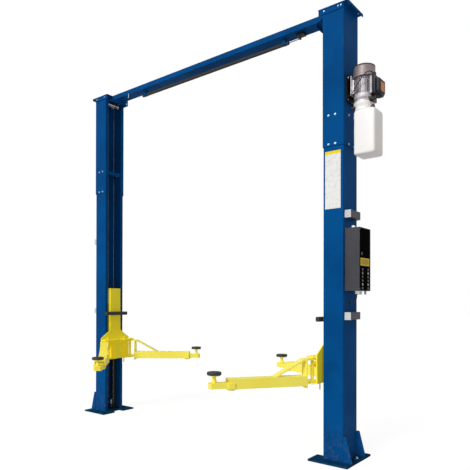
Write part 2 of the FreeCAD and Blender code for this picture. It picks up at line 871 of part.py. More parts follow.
def pad_screw(reach):
    """Screw with a cup that carries the rubber pad."""
    cup_z = pad_top - pad_t - pad_cup_t
    outline = [
        (0, cup_z - screw_len), (screw_r, cup_z - screw_len), (screw_r, cup_z - pad_hub_h),
        (pad_hub_r, cup_z - pad_hub_h), (pad_hub_r + 4, cup_z), (pad_cup_r, cup_z),
        (pad_cup_r, cup_z + pad_cup_t), (0, cup_z + pad_cup_t),
    ]
    return turned(reach, 0, outline)


def pad_rubber(reach):
    z = pad_top - pad_t
    outline = [
        (0, z), (pad_r - 3, z), (pad_r, z + 4), (pad_r, pad_top - pad_edge),
        (pad_r - pad_edge * 0.3, pad_top - pad_edge * 0.3), (pad_r - pad_edge, pad_top),
        (pad_dish_r + 2, pad_top), (pad_dish_r, pad_top - pad_dish), (0, pad_top - pad_dish),
    ]
    return turned(reach, 0, outline)


def placed(shape, side, front, angle):
    """Turn a piece made along +X about the arm's pivot and set it on the pivot."""
    moved = shape.copy()
    moved.rotate(V(0, 0, 0), V(0, 0, 1), angle)
    moved.translate(V(side * pivot_x, front * pivot_y, 0))
    return moved


# The two loose cables
gland_gap = 0.7               # the cables leave their glands at a slant
motor_cable_r = 3.5
control_cable_r = 3.0

unit_x = half_span + unit_out
tank_x = unit_x + tank_shift
neck_top = tank_top + neck_h
flange_top = neck_top + pump_flange_t
block_top = flange_top + pump_block_h
adapter_top = block_top + adapter_h

# By hand: out of the post and over the motor, and from the cabinet back into the post
motor_route = [
    V(sleeve_out + x, y, adapter_top + z) for x, y, z in (
        (12, -84, 25), (34.5, -85, 28), (62.5, -93, 46), (92.5, -101, 79), (126.5, -113, 112),
        (156.5, -122, 140), (182.5, -120, 160), (203.5, -106, 170), (215.5, -83, 171), (216.5, -58, 167),
    )
]
control_route = [
    V(half_span + x, y, control_bottom + z) for x, y, z in (
        (58, 0, -31), (57.5, 0, -48), (52, 0.5, -69), (41, 1.5, -86), (25, 1.5, -96), (9, 0.5, -98),
    )
]
motor_top = adapter_top + motor_h


def oil_tank():
    """Blow-moulded tank with sloping shoulders and a round neck under the pump."""
    x0, x1 = tank_x - tank_half_x, tank_x + tank_half_x
    y0, y1 = unit_y - tank_half_y, unit_y + tank_half_y
    body = box(x0, x1, y0, y1, tank_bottom, tank_top)
    body = body.makeChamfer(tank_corner, [e for e in body.Edges if e.BoundBox.ZLength > 10])
    ends = [e for e in body.Edges if e.BoundBox.ZLength < 0.1]
    body = body.makeChamfer(tank_corner / 2, ends)
    neck = cylinder(unit_x, unit_y, tank_top - 1, neck_r, neck_h + 1)
    filler = cylinder(tank_x + tank_half_x - 40, unit_y - 20, tank_top - 1, 17, 20)
    return fused([body, neck, filler])


def pump_block():
    """Bolted flange, valve block with its release lever's boss, and the bell under the motor."""
    flange = cylinder(unit_x, unit_y, neck_top, pump_flange_r, pump_flange_t)
    h = pump_block_half
    block = box(unit_x - h, unit_x + h, unit_y - h, unit_y + h, flange_top, block_top)
    valve = box(unit_x + h - 1, unit_x + h + 26, unit_y - 34, unit_y + 6, flange_top + 4, block_top - 6)
    bell = turned(unit_x, unit_y, [
        (0, block_top), (pump_flange_r - 8, block_top), (adapter_r, block_top + adapter_h / 2),
        (adapter_r, adapter_top), (0, adapter_top),
    ])
    return fused([flange, block, valve, bell])


def motor():
    """Finned motor body under a fan cover."""
    core = cylinder(unit_x, unit_y, adapter_top, motor_r - fin_h, motor_h)
    rings = []
    for z in (adapter_top, motor_top - 10):
        rings.append(cylinder(unit_x, unit_y, z, motor_r - 2, 10))
    fins = [core] + rings
    for n in range(fin_count):
        fin = box(motor_r - fin_h - 3, motor_r, -fin_t / 2, fin_t / 2, adapter_top + 8, motor_top - 8)
        fin.rotate(V(0, 0, 0), V(0, 0, 1), 360.0 * n / fin_count)
        fin.translate(V(unit_x, unit_y, 0))
        fins.append(fin)
    return fused(fins)


def fan_cover():
    z = motor_top
    top = motor_top + fan_h
    return turned(unit_x, unit_y, [
        (0, z), (fan_r, z), (fan_r, top - 14), (fan_r - 4, top - 5), (fan_r - 14, top), (0, top),
    ])


def motor_bracket():
    """Plate bolted to the post with a saddle that holds the motor body."""
    z0 = adapter_top - 20
    x0 = sleeve_out
    back = box(x0, x0 + mount_t, unit_y - mount_half, unit_y + mount_half, z0, z0 + mount_h)
    arm = box(x0 + mount_t - 1, unit_x, unit_y - saddle_half, unit_y + saddle_half, z0 + 30, z0 + 120)
    around = cylinder(unit_x, unit_y, z0, motor_r + 0.3, mount_h)
    return fused([back, arm]).cut(around)


def terminal_box():
    """Cable box on the motor's side with a deep rounded switch housing on it."""
    x0 = unit_x + motor_r + 0.3
    x1 = x0 + terminal_t
    x2 = x1 + terminal_drum
    z0 = adapter_top + 4
    z1 = z0 + terminal_h
    y0 = unit_y - terminal_half
    y1 = unit_y + terminal_half
    c = 10.0
    plan = [
        (y0 + c, z0), (y1 - c, z0), (y1, z0 + c), (y1, z1 - c),
        (y1 - c, z1), (y0 + c, z1), (y0, z1 - c), (y0, z0 + c),
    ]
    base = prism_x(plan, x0, x1)
    r = terminal_drum_half
    low = z0 - terminal_drop + r
    top = z1 - 32
    housing = box(x1 - 1, x2, unit_y - r, unit_y + r, low, top)
    foot = cylinder(x1 - 1, unit_y, low, r, x2 - x1 + 1, (1, 0, 0))
    housing = fused([housing, foot])
    front = [e for e in housing.Edges if abs(e.BoundBox.XMin - x2) < 0.01 and abs(e.BoundBox.XMax - x2) < 0.01]
    housing = housing.makeChamfer(9.0, front)
    return fused([base, housing])


def cable_glands():
    """Where the two cables leave the post and the housings: a gland at each end of each."""
    on_post, elbow = motor_route[0], motor_route[-1]
    cabinet, web = control_route[0], control_route[-1]
    top = adapter_top + 4 + terminal_h
    lip = gland_gap
    return together([
        cylinder(sleeve_out, on_post.y, on_post.z, 10, on_post.x - lip - sleeve_out, (1, 0, 0)),
        fused([
            box(elbow.x - 11, elbow.x + 11, elbow.y + 8, elbow.y + 32, top, top + 22),
            cylinder(elbow.x, elbow.y + lip, elbow.z, 8, 9, (0, 1, 0)),
        ]),
        cylinder(cabinet.x, cabinet.y, cabinet.z + lip, 12, control_bottom - cabinet.z - lip),
        cylinder(cabinet.x + 32, cabinet.y, cabinet.z + 4, 12, control_bottom - cabinet.z - 4),
        cylinder(half_span, web.y, web.z, 9, web.x - lip - half_span, (1, 0, 0)),
    ])


def cord(route, r):
    """Tube along straight runs joined by arcs as large as the runs allow."""
    edges = []
    start = route[0]
    for before, point, after in zip(route, route[1:], route[2:]):
        back = before - point
        ahead = after - point
        turn = math.pi - back.getAngle(ahead)
        reach = 0.45 * min(back.Length, ahead.Length)
        radius = reach / math.tan(turn / 2)
        a = point + back * (reach / back.Length)
        b = point + ahead * (reach / ahead.Length)
        bisector = back.normalize() + ahead.normalize()
        bisector.normalize()
        centre = point + bisector * math.hypot(radius, reach)
        middle = centre - bisector * radius
        edges.append(Part.LineSegment(start, a).toShape())
        edges.append(Part.Arc(a, middle, b).toShape())
        start = b
        print("cord bend", round(math.degrees(turn), 1), "degrees, radius", round(radius, 1))
    edges.append(Part.LineSegment(start, route[-1]).toShape())
    path = Part.Wire(edges)
    section = Part.Wire(Part.makeCircle(r, route[0], route[1] - route[0]))
    tube = path.makePipeShell([section], True, False)
    print("cord volume", round(tube.Volume), "section by length", round(math.pi * r * r * path.Length))
    return tube


def control_box():
    """Steel cabinet with a rim round its front panel, which faces away from the post."""
    x0 = half_span
    x1 = half_span + control_depth
    r = control_rim
    cabinet = box(x0, x1, control_front, control_rear, control_bottom, control_top)
    panel = box(x1 - 3, x1 + 1, control_front + r, control_rear - r, control_bottom + r, control_top - r)
    return cabinet.cut(panel)


def control_buttons():
    """Lamps, push buttons and the selector, seated on the panel."""
    x = half_span + control_depth - 3
    buttons = []
    for y in (control_front + button_in, control_rear - button_in_rear):
        for n in range(3):
            z = control_bottom + button_up + n * button_pitch
            buttons.append(cylinder(x, y, z, button_r, button_len, (1, 0, 0)))
    buttons.append(cylinder(x, 0.0, control_top - selector_down, selector_r, selector_len, (1, 0, 0)))
    return together(buttons)


def lock_cover(z):
    """Moulded cover over a latch, narrower towards the rear."""
    x0 = half_span
    x1 = half_span + cover_depth
    c = cover_chamfer
    plan = [
        (x0, -cover_half), (x1, -cover_half), (x1, cover_half - 2 * c), (x1 - c, cover_half - c / 2),
        (x1 - 2 * c, cover_half), (x0, cover_half),
    ]
    return prism_z(plan, z, z + cover_h)


def hanger_places():
    return bar_far + hanger_in, bar_near - hanger_in


def safety_bar():
    """Padded bar under the middle of the beam, with a thin link to the switch."""
    pad = cylinder(bar_far, 0, bar_z, bar_r, bar_near - bar_far, (1, 0, 0))
    pad = pad.makeChamfer(4.0, pad.Edges)
    link = cylinder(bar_near - 10, 0, bar_z, link_r, lever_x - lever_r - 0.3 - bar_near + 10, (1, 0, 0))
    bar = fused([pad, link])
    for x in hanger_places():
        bar = bar.cut(cylinder(x, -bar_r - 1, bar_z, bar_pin_r + pin_fit, 2 * bar_r + 2, (0, 1, 0)))
    return bar


def bar_hanger(x):
    """Two cheeks and a pin that hold the bar under the beam."""
    inner = bar_r + 0.6
    outer = inner + hanger_t
    low = bar_z - 9
    cheeks = []
    for y0, y1 in ((-outer, -inner), (inner, outer)):
        cheeks.append(box(x - hanger_half, x + hanger_half, y0, y1, low, beam_low))
    bridge = box(x - hanger_half, x + hanger_half, -outer, outer, beam_low - hanger_t, beam_low)
    pin = cylinder(x, -outer - 3, bar_z, bar_pin_r, 2 * outer + 6, (0, 1, 0))
    return fused(cheeks + [bridge, pin])


def bar_brackets():
    return together([bar_hanger(x) for x in hanger_places()])


def safety_switch():
    """Limit switch under the beam, with its lever and roller at the end of the link."""
    x0 = switch_x
    top = beam_low
    body = box(x0, x0 + switch_len, -switch_half, switch_half, top - switch_h, top)
    body = body.makeChamfer(3.0, [e for e in body.Edges if e.BoundBox.YLength < 1 and e.BoundBox.XLength < 1])
    lever = box(lever_x - 3, lever_x + 3, -4, 4, bar_z, top - switch_h + 1)
    roller = cylinder(lever_x, -7, bar_z, lever_r, 14, (0, 1, 0))
    return fused([body, lever, roller])


def per_post(side):
    """Pieces that a post has for itself, drawn for the near side."""
    return {
        "base_plate": base_plate(),
        "post": post(),
        "extension": extension(),
        "ram_rod": ram_rod(),
        "wheel_chain": wheel_chain(),
        "carriage": carriage(side),
        "carriage_chain": carriage_chain(),
        "arm_pins": arm_pins(),
        "guide_blocks": guide_blocks(),
        "door_guard": door_guard(),
    }


def shared(side):
    """Like pieces on both posts that share one file."""
    return {
        "base_gussets": [base_gussets()],
        "head_plates": [head_plate()],
        "post_caps": [cap()],
        "beam_brackets": [beam_saddle()],
        "ram_barrels": [ram_barrel()],
        "floor_chains": [floor_chain()],
        "cable_wheels": [cable_wheels(side)],
        "lock_covers": [lock_cover(z) for z in cover_z],
    }


nodes = {}
pairs = {}
ropes = cross_ropes()
for side, name in ((1, "near"), (-1, "far")):
    for key, shape in per_post(side).items():
        nodes[name + "_" + key] = shape if side > 0 else mirrored(shape)
    for key, shapes in shared(side).items():
        for shape in shapes:
            whole = shape if side > 0 else mirrored(shape)
            pairs.setdefault(key, []).extend(whole.Solids)
    for shape in post_rope(side):
        ropes.append(shape if side > 0 else mirrored(shape))
for key, solids in pairs.items():
    nodes[key] = together(solids)
nodes["level_rope"] = fused(ropes)

for name, (side, front, angle, reach) in arms.items():
    nodes[name + "_arm"] = placed(arm_parts(), side, front, angle)
    nodes[name + "_arm_extension"] = placed(arm_inner(reach), side, front, angle)
    nodes[name + "_pad_screw"] = placed(pad_screw(reach), side, front, angle)
    nodes[name + "_pad"] = placed(pad_rubber(reach), side, front, angle)

nodes["beam"] = beam()
nodes["safety_bar"] = safety_bar()
nodes["safety_bar_brackets"] = bar_brackets()
nodes["safety_switch"] = safety_switch()
nodes["oil_tank"] = oil_tank()
nodes["pump_block"] = pump_block()
nodes["motor"] = motor()
nodes["fan_cover"] = fan_cover()
nodes["motor_bracket"] = motor_bracket()
nodes["terminal_box"] = terminal_box()
nodes["control_box"] = control_box()
nodes["control_buttons"] = control_buttons()
nodes["cable_glands"] = cable_glands()
nodes["motor_cable"] = cord(motor_route, motor_cable_r)
nodes["control_cable"] = cord(control_route, control_cable_r)

for name, shape in nodes.items():
    shape.exportStep("parts/" + name + ".step")
    print(name, "valid", shape.isValid(), "solids", len(shape.Solids), "volume", round(shape.Volume))
print("nodes", len(nodes), "wheel at", chain_wheel_z, "gland top", gland_top)
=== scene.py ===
from math import cos, pi, radians, sin
import bpy
import bmesh
from mathutils import Matrix, Vector


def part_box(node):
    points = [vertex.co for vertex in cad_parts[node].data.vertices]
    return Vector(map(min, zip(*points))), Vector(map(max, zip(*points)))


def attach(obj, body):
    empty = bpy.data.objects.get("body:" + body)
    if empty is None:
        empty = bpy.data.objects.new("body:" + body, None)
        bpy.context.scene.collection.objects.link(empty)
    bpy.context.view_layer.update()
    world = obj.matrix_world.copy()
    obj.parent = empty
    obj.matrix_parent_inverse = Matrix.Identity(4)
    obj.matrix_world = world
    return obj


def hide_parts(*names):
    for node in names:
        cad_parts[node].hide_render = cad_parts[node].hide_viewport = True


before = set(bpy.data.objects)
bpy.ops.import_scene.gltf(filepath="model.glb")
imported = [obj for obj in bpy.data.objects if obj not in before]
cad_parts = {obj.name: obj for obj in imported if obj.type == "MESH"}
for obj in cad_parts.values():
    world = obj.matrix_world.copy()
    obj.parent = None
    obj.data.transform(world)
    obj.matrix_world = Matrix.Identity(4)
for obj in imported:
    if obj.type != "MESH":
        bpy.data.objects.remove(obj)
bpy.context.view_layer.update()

# Places on the lift, in metres. The near post stands at +X.
BACK = 1.6  # back of a post
SLEEVE_BACK = 1.6055  # back of the extension over it
OPENING = 1.42  # open front of a post
POST_FLANK = 0.128
INNER_FLANK = 0.122
SLEEVE_FLANK = 0.1335
FACE = 1.397  # front of a carriage's face plate
BASE_TOP = 0.016
ANCHOR_TOP = 0.098  # top of the blocks that hold the floor chains
TOP = 3.7
CAP_UNDERSIDE = TOP - 0.0085
UNIT_X = 1.722  # axis of the motor, the pump and the tank
BRACKET_FRONT = 1.618  # front of the power unit's bracket
PIVOT = (1.35, 0.182)  # an arm's pin
ARMS = {  # side, front or rear, and the angle that an arm points at
    "near_front": (1, -1, -126.5),
    "near_rear": (1, 1, 153.0),
    "far_front": (-1, -1, -42.0),
    "far_rear": (-1, 1, 36.0),
}
SIDES = {"near": 1, "far": -1}
UP = (0, 0, 1)
OUT = (1, 0, 0)


# Node trees

def feed(tree, socket, value):
    """Links a socket to what a node gives, or sets its number or colour."""
    if isinstance(value, Shade):
        value = value.socket
    if isinstance(value, bpy.types.NodeSocket):
        tree.links.new(value, socket)
    elif socket.type == "RGBA":
        socket.default_value = (*value, 1)
    else:
        socket.default_value = value


def add_node(tree, kind, values=None, **settings):
    node = tree.nodes.new(kind)
    for key, value in settings.items():
        setattr(node, key, value)
    for key, value in (values or {}).items():
        feed(tree, node.inputs[key], value)
    return node


class Shade:
    """What a shader node gives. Arithmetic on it adds its Math nodes."""

    def __init__(self, finish, socket):
        self.finish = finish
        self.socket = socket

    def _math(self, operation, a, b):
        return self.finish.add("ShaderNodeMath", 0, {0: a, 1: b}, operation=operation)

    def __add__(self, other):
        return self._math("ADD", self, other)

    def __sub__(self, other):
        return self._math("SUBTRACT", self, other)

    def __mul__(self, other):
        return self._math("MULTIPLY", self, other)

    def __rsub__(self, other):
        return self._math("SUBTRACT", other, self)

    __radd__ = __add__
    __rmul__ = __mul__

    def steps(self, low, high, to_low=0.0, to_high=1.0):
        """Smooth change from to_low to to_high as the number goes from low to high."""
        values = {"Value": self, "From Min": low, "From Max": high, "To Min": to_low, "To Max": to_high}
        return self.finish.add("ShaderNodeMapRange", "Result", values, interpolation_type="SMOOTHSTEP")


class Finish:
    """A material that is built from expressions."""

    def __init__(self, name):
        self.material = bpy.data.materials.new(name)
        self.material.use_nodes = True
        self.tree = self.material.node_tree
        self.tree.nodes.clear()
        self.shader = add_node(self.tree, "ShaderNodeBsdfPrincipled")
        self.output = add_node(self.tree, "ShaderNodeOutputMaterial", {0: self.shader.outputs[0]})
        self.place = self.add("ShaderNodeTexCoord", "Object")

    def add(self, kind, out, values=None, **settings):
        return Shade(self, add_node(self.tree, kind, values, **settings).outputs[out])

    def set(self, **values):
        """Sets the shader's sockets, such as base_color or coat_weight."""
        for key, value in values.items():
            label = key.replace("_", " ").title().replace("Ior", "IOR")
            feed(self.tree, self.shader.inputs[label], value)
        return self.material

    def stretched(self, scale):
        return self.add("ShaderNodeMapping", 0, {"Vector": self.place, "Scale": scale})

    def noise(self, scale, detail=3.0, roughness=0.55, vector=None):
        values = {"Vector": vector or self.place, "Scale": scale,
                  "Detail": detail, "Roughness": roughness}
        return self.add("ShaderNodeTexNoise", 0, values)

    def cells(self, scale):
        return self.add("ShaderNodeTexVoronoi", "Distance", {"Vector": self.place, "Scale": scale})

    def axis(self, name):
        return self.add("ShaderNodeSeparateXYZ", name, {0: self.place})

    def mix(self, factor, a, b):
        """Colour a where factor is 0 and b where it is 1."""
        node = add_node(self.tree, "ShaderNodeMix", data_type="RGBA", clamp_factor=True)
        for key, kind, value in (("Factor", "VALUE", factor), ("A", "RGBA", a), ("B", "RGBA", b)):
            feed(self.tree, [s for s in node.inputs if s.name == key and s.type == kind][0], value)
        return Shade(self, [s for s in node.outputs if s.type == "RGBA"][0])

    def bump(self, height, distance, strength):
        values = {"Height": height, "Distance": distance, "Strength": strength}
        return self.add("ShaderNodeBump", "Normal", values)


# Finishes

DUST = (0.2, 0.18, 0.15)
DUST_REACH = 0.42  # dust thins out up to this height
OIL_LEVEL = 2.66
EVEN = (1.0, 1.0, 1.0)  # marks that run no way in particular


def enamel(name, colour, deep, worn, roughness, dust=0.12, shine=0.06, glow=0.0):
    """Sprayed enamel: orange peel, cloudy gloss, fine scuffs and dust near the floor. Its glow is
    painted fill light: the paint glows in its own colour.
    """
    f = Finish(name)
    cloud = f.noise(2.3, 4.0)
    fine = f.noise(34.0, 5.0, 0.6)
    peel = f.noise(620.0, 1.0)
    scuff = f.noise(18.0, 6.0, 0.75, f.stretched((1.0, 1.0, 0.12)))
    scratches = scuff.steps(0.66, 0.72)
    low = f.axis("Z").steps(DUST_REACH, 0.0)
    grime = low * fine.steps(0.42, 0.75) * dust
    base = f.mix(cloud.steps(0.35, 0.7), colour, deep)
    base = f.mix(scratches * 0.22, base, worn)
    base = f.mix(grime, base, DUST)
    gloss = roughness + (cloud - 0.5) * 0.16 + scratches * 0.14 + grime * 0.5
    normal = f.bump(peel + scratches * -0.4, 0.00022, 0.55)
    # glow lets the paint glow in its own colour: painted fill light, not a lamp
    return f.set(base_color=base, roughness=gloss, normal=normal, specular_ior_level=shine,
                 emission_color=base, emission_strength=glow)


def metal(name, colour, stained, roughness, brushed=(1.0, 1.0, 14.0), coarse=220.0):
    """Bare metal with machining marks and a thin uneven film of oil."""
    f = Finish(name)
    marks = f.noise(coarse, 3.0, 0.6, f.stretched(brushed))
    film = f.noise(26.0, 4.0)
    base = f.mix(film.steps(0.45, 0.72), colour, stained)
    gloss = roughness + marks * 0.16 - film.steps(0.4, 0.8) * 0.06
    return f.set(base_color=base, metallic=1.0, roughness=gloss, normal=f.bump(marks, 0.0001, 0.5))


def cast(name, colour, deep, metallic=0.55):
    """Die-cast alloy with sand grain and grey stains."""
    f = Finish(name)
    grain = f.noise(480.0, 3.0, 0.7)
    pits = f.cells(260.0).steps(0.0, 0.28)
    stain = f.noise(14.0, 5.0, 0.6)
    base = f.mix(stain.steps(0.35, 0.72), colour, deep)
    normal = f.bump(grain * 0.7 + pits * 0.3, 0.0004, 0.7)
    gloss = 0.46 + (stain - 0.5) * 0.2
    return f.set(base_color=base, metallic=metallic, roughness=gloss, normal=normal)


def plastic(name, colour, deep, roughness, grain=900.0):
    """Moulded plastic with a fine spark-eroded grain."""
    f = Finish(name)
    skin = f.noise(grain, 2.0)
    cloud = f.noise(9.0, 3.0)
    base = f.mix(cloud.steps(0.3, 0.75), colour, deep)
    return f.set(base_color=base, roughness=roughness + (cloud - 0.5) * 0.12,
                 normal=f.bump(skin, 0.0001, 0.6), specular_ior_level=0.22)


def moulded_rubber(name, colour, dusty):
    """Dull rubber, rubbed grey in places."""
    f = Finish(name)
    skin = f.noise(700.0, 3.0, 0.65)
    rub = f.noise(22.0, 5.0, 0.7)
    base = f.mix(rub.steps(0.48, 0.8) * 0.7, colour, dusty)
    return f.set(base_color=base, roughness=0.62 + rub * 0.22, normal=f.bump(skin, 0.00025, 0.8))


def tank_plastic():
    """Milky blow-moulded tank with the oil level showing faintly, soft waves in its wall and a faint
    warm glow that is painted light.
    """
    f = Finish("milky_tank")
    wave = f.noise(11.0, 2.0)
    skin = f.noise(420.0, 2.0)
    level = f.axis("Z").steps(OIL_LEVEL + 0.008, OIL_LEVEL - 0.008)
    base = f.mix(level * 0.08, (0.83, 0.815, 0.805), (0.75, 0.69, 0.6))
    base = f.mix(wave.steps(0.4, 0.8) * 0.3, base, (0.77, 0.745, 0.72))
    normal = f.bump(wave + skin * 0.02, 0.004, 0.35)
    # The faint warm emission is painted light on the tank.
    return f.set(base_color=base, roughness=0.36 + (wave - 0.5) * 0.1, normal=normal,
                 subsurface_weight=0.12, emission_color=(1.0, 0.82, 0.7), emission_strength=0.06)


def wire_rope():
    """Greased steel rope with its strands as slanting ridges and painted shade in the grooves between
    them.
    """
    f = Finish("greased_rope")
    height = f.axis("Z") * 520.0
    across = (f.axis("X") + f.axis("Y")) * 700.0
    strand = f.add("ShaderNodeMath", 0, {0: height + across}, operation="SINE")
    grease = f.noise(60.0, 4.0)
    base = f.mix(grease.steps(0.4, 0.7), (0.26, 0.25, 0.23), (0.09, 0.08, 0.07))
    # Near black in the grooves between strands: painted shade.
    base = f.mix(strand.steps(-1.0, 0.2, 0.6, 0.0), base, (0.03, 0.03, 0.03))
    return f.set(base_color=base, metallic=0.9, roughness=0.42, normal=f.bump(strand, 0.0008, 0.8))


def plain(name, colour, roughness):
    """Flat plate in one colour."""
    f = Finish(name)
    skin = f.noise(800.0, 2.0)
    cloud = f.noise(30.0, 3.0)
    deep = tuple(c * 0.82 for c in colour)
    base = f.mix(cloud.steps(0.4, 0.8), colour, deep)
    return f.set(base_color=base, roughness=roughness + (cloud - 0.5) * 0.1,
                 normal=f.bump(skin, 0.00006, 0.5), specular_ior_level=0.05)


def lens(name, colour, glow, coat=0.6):
    """Lamp or button cap with a soft glow of its own colour. On the white glands and the knob, which
    are no lamps, the glow is painted light.
    """
    f = Finish(name)
    rings = f.noise(300.0, 1.0)
    base = f.mix(rings.steps(0.3, 0.8), colour, tuple(c * 0.7 for c in colour))
    return f.set(base_color=base, roughness=0.2 + rings * 0.08, coat_weight=coat,
                 specular_ior_level=0.1, emission_color=colour, emission_strength=glow)


MATERIALS = {
    # The posts' blue glows a little: painted fill light.
    "blue": enamel("blue_enamel", (0.001, 0.067, 0.228), (0.001, 0.05, 0.177), (0.04, 0.12, 0.25),
                   0.48, shine=0.015, glow=0.1),
    "barrel": enamel("barrel_enamel", (0.05, 0.06, 0.066), (0.036, 0.043, 0.048), (0.12, 0.12, 0.12),
                     0.5, dust=0.0),
    "base_blue": enamel("base_enamel", (0.001, 0.05, 0.13), (0.001, 0.036, 0.095), (0.03, 0.08, 0.15),
                        0.65, dust=0.1, shine=0.0),
    "panel": enamel("panel_enamel", (0.007, 0.006, 0.0055), (0.005, 0.0045, 0.004), (0.02, 0.02, 0.02),
                    0.65, dust=0.0, shine=0.0),
    # One yellow paint in two copies: the arms' copy is paled as a painted highlight of lit paint, and
    # the carriages' copy is kept deep as painted shade. Both glow as painted fill light, the carriages'
    # more.
    "yellow": enamel("lit_yellow_enamel", (0.89, 0.78, 0.115), (0.87, 0.725, 0.075), (0.6, 0.48, 0.15),
                     0.42, dust=0.1, glow=0.1),
    "shaded_copy_yellow": enamel("shaded_carriage_enamel", (0.9, 0.78, 0.045), (0.87, 0.71, 0.025), (0.6, 0.48, 0.12),
                          0.42, dust=0.1, shine=0.04, glow=0.15),
    "black": enamel("black_enamel", (0.009, 0.008, 0.008), (0.006, 0.005, 0.005),
                    (0.06, 0.06, 0.06), 0.5),
    "grey_box": enamel("grey_cabinet", (0.07, 0.07, 0.08), (0.055, 0.055, 0.064), (0.2, 0.2, 0.2),
                       0.5, dust=0.0),
    "steel": metal("ground_steel", (0.62, 0.62, 0.61), (0.45, 0.44, 0.42), 0.22),
    "zinc": metal("zinc_plated", (0.54, 0.64, 0.72), (0.42, 0.49, 0.54), 0.3, EVEN, 500.0),
    "chain": metal("oiled_chain", (0.13, 0.125, 0.12), (0.045, 0.042, 0.04), 0.42, EVEN, 400.0),
    "stained": metal("stained_steel", (0.085, 0.05, 0.035), (0.035, 0.022, 0.02), 0.42, EVEN, 500.0),
    "rope": wire_rope(),
    "cast": cast("cast_alloy", (0.36, 0.34, 0.36), (0.25, 0.235, 0.245)),
    "fan": cast("fan_cowl", (0.27, 0.225, 0.225), (0.18, 0.145, 0.14), 0.4),
    "fan_rim": cast("fan_rim", (0.1, 0.075, 0.075), (0.06, 0.045, 0.045), 0.3),
    "alloy": cast("machined_alloy", (0.62, 0.59, 0.61), (0.47, 0.44, 0.46), 0.35),
    "dark_cast": cast("stained_casting", (0.11, 0.085, 0.078), (0.055, 0.04, 0.038), 0.4),
    "nylon": plastic("machined_nylon", (0.62, 0.6, 0.52), (0.52, 0.5, 0.43), 0.48, 300.0),
    "cover": plastic("light_cover", (0.6, 0.61, 0.63), (0.55, 0.56, 0.58), 0.45),
    # Dark plastic for the rings round the lamps. On the lock covers the same dark is painted shade, as
    # their sides stand out of the light.
    "cover_dark": plastic("dark_plastic_and_painted_shade", (0.085, 0.09, 0.1), (0.07, 0.072, 0.08), 0.5),
    "tank": tank_plastic(),
    "black_plastic": plastic("black_moulding", (0.013, 0.013, 0.02), (0.009, 0.009, 0.014), 0.5),
    "rubber": moulded_rubber("pad_rubber", (0.022, 0.022, 0.022), (0.085, 0.08, 0.072)),
    "guard": moulded_rubber("guard_rubber", (0.015, 0.015, 0.016), (0.05, 0.05, 0.05)),
    "cable": moulded_rubber("cable_sheath", (0.012, 0.012, 0.013), (0.035, 0.034, 0.032)),
    "plate_white": plain("blank_white_plate", (0.8, 0.8, 0.78), 0.35),
    "plate_yellow": plain("blank_yellow_plate", (0.88, 0.66, 0.03), 0.35),
    "plate_ochre": plain("blank_ochre_plate", (0.62, 0.4, 0.03), 0.35),
    "amber": lens("amber_window", (0.6, 0.22, 0.02), 0.15, 0.0),
    "green": lens("green_lamp", (0.1, 0.26, 0.14), 0.03),
    # The white glands and the knob glow: painted light that brightens them.
    "white_gland": lens("white_gland", (0.86, 0.86, 0.84), 0.3),
    "dim": lens("dim_lamp", (0.1, 0.1, 0.11), 0.02),
    "white_lens": lens("white_lamp", (0.5, 0.5, 0.49), 0.05),
}

# The CAD nodes that aren't blue. The name of a side or an arm may stand before each.
KINDS = {
    "base_blue": "base_plate", "barrel": "ram_barrels", "steel": "ram_rod cable_wheels",
    "chain": "wheel_chain carriage_chain floor_chains", "rope": "level_rope",
    # Carriages take the shaded copy of the yellow (painted shade), the arms the lit copy (painted
    # highlight).
    "shaded_copy_yellow": "carriage", "yellow": "arm_pins arm arm_extension pad_screw",
    # The lock covers are dark all over: painted shade of their sides.
    "nylon": "guide_blocks", "guard": "door_guard safety_bar", "cover_dark": "lock_covers",
    "black_plastic": "safety_switch terminal_box cable_glands", "tank": "oil_tank",
    "alloy": "pump_block motor_bracket", "cast": "motor", "fan": "fan_cover",
    "grey_box": "control_box", "dim": "control_buttons", "rubber": "pad",
}
NODE_FINISH = {kind: finish for finish, kinds in KINDS.items() for kind in kinds.split()}


def dress_nodes():
    """Gives every CAD node the finish of its kind."""
    for name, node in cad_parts.items():
        kind = name
        for start in (*ARMS, *SIDES):
            kind = kind.removeprefix(start + "_")
        node.data.materials.clear()
        node.data.materials.append(MATERIALS[NODE_FINISH.get(kind, "blue")])


# Meshes

def linked(name, data):
    """A new object in the scene."""
    made = bpy.data.objects.new(name, data)
    bpy.context.scene.collection.objects.link(made)
    return made


def placed(name, data, body):
    """A new object that rides on a body."""
    made = linked(name, data)
    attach(made, body)
    return made


def piece(name, bm, finish, body="frame", sharp=None):
    """Turns a bmesh into a finished object. A list of finishes goes with the faces' indices.

    With sharp, all is smooth but the edges that turn by more degrees than that.
    """
    bmesh.ops.remove_doubles(bm, verts=bm.verts, dist=0.00001)
    bmesh.ops.recalc_face_normals(bm, faces=bm.faces)
    mesh = bpy.data.meshes.new(name)
    bm.to_mesh(mesh)
    bm.free()
    for key in finish if isinstance(finish, list) else [finish]:
        mesh.materials.append(MATERIALS[key])
    if sharp:
        mesh.shade_smooth()
        mesh.set_sharp_from_angle(angle=radians(sharp))
    return placed(name, mesh, body)


def block(bm, low, high, bevel=0.0, index=0):
    """Box between two corners, with its edges rounded."""
    size = [b - a for a, b in zip(low, high)]
    middle = [(a + b) / 2 for a, b in zip(low, high)]
    matrix = Matrix.Translation(middle) @ Matrix.Diagonal((*size, 1))
    made = bmesh.ops.create_cube(bm, size=1.0, matrix=matrix)
    for face in {face for vert in made["verts"] for face in vert.link_faces}:
        face.material_index = index
    if bevel:
        edges = {edge for vert in made["verts"] for edge in vert.link_edges}
        bmesh.ops.bevel(bm, geom=list(edges), offset=bevel, segments=2, affect="EDGES", profile=0.7)


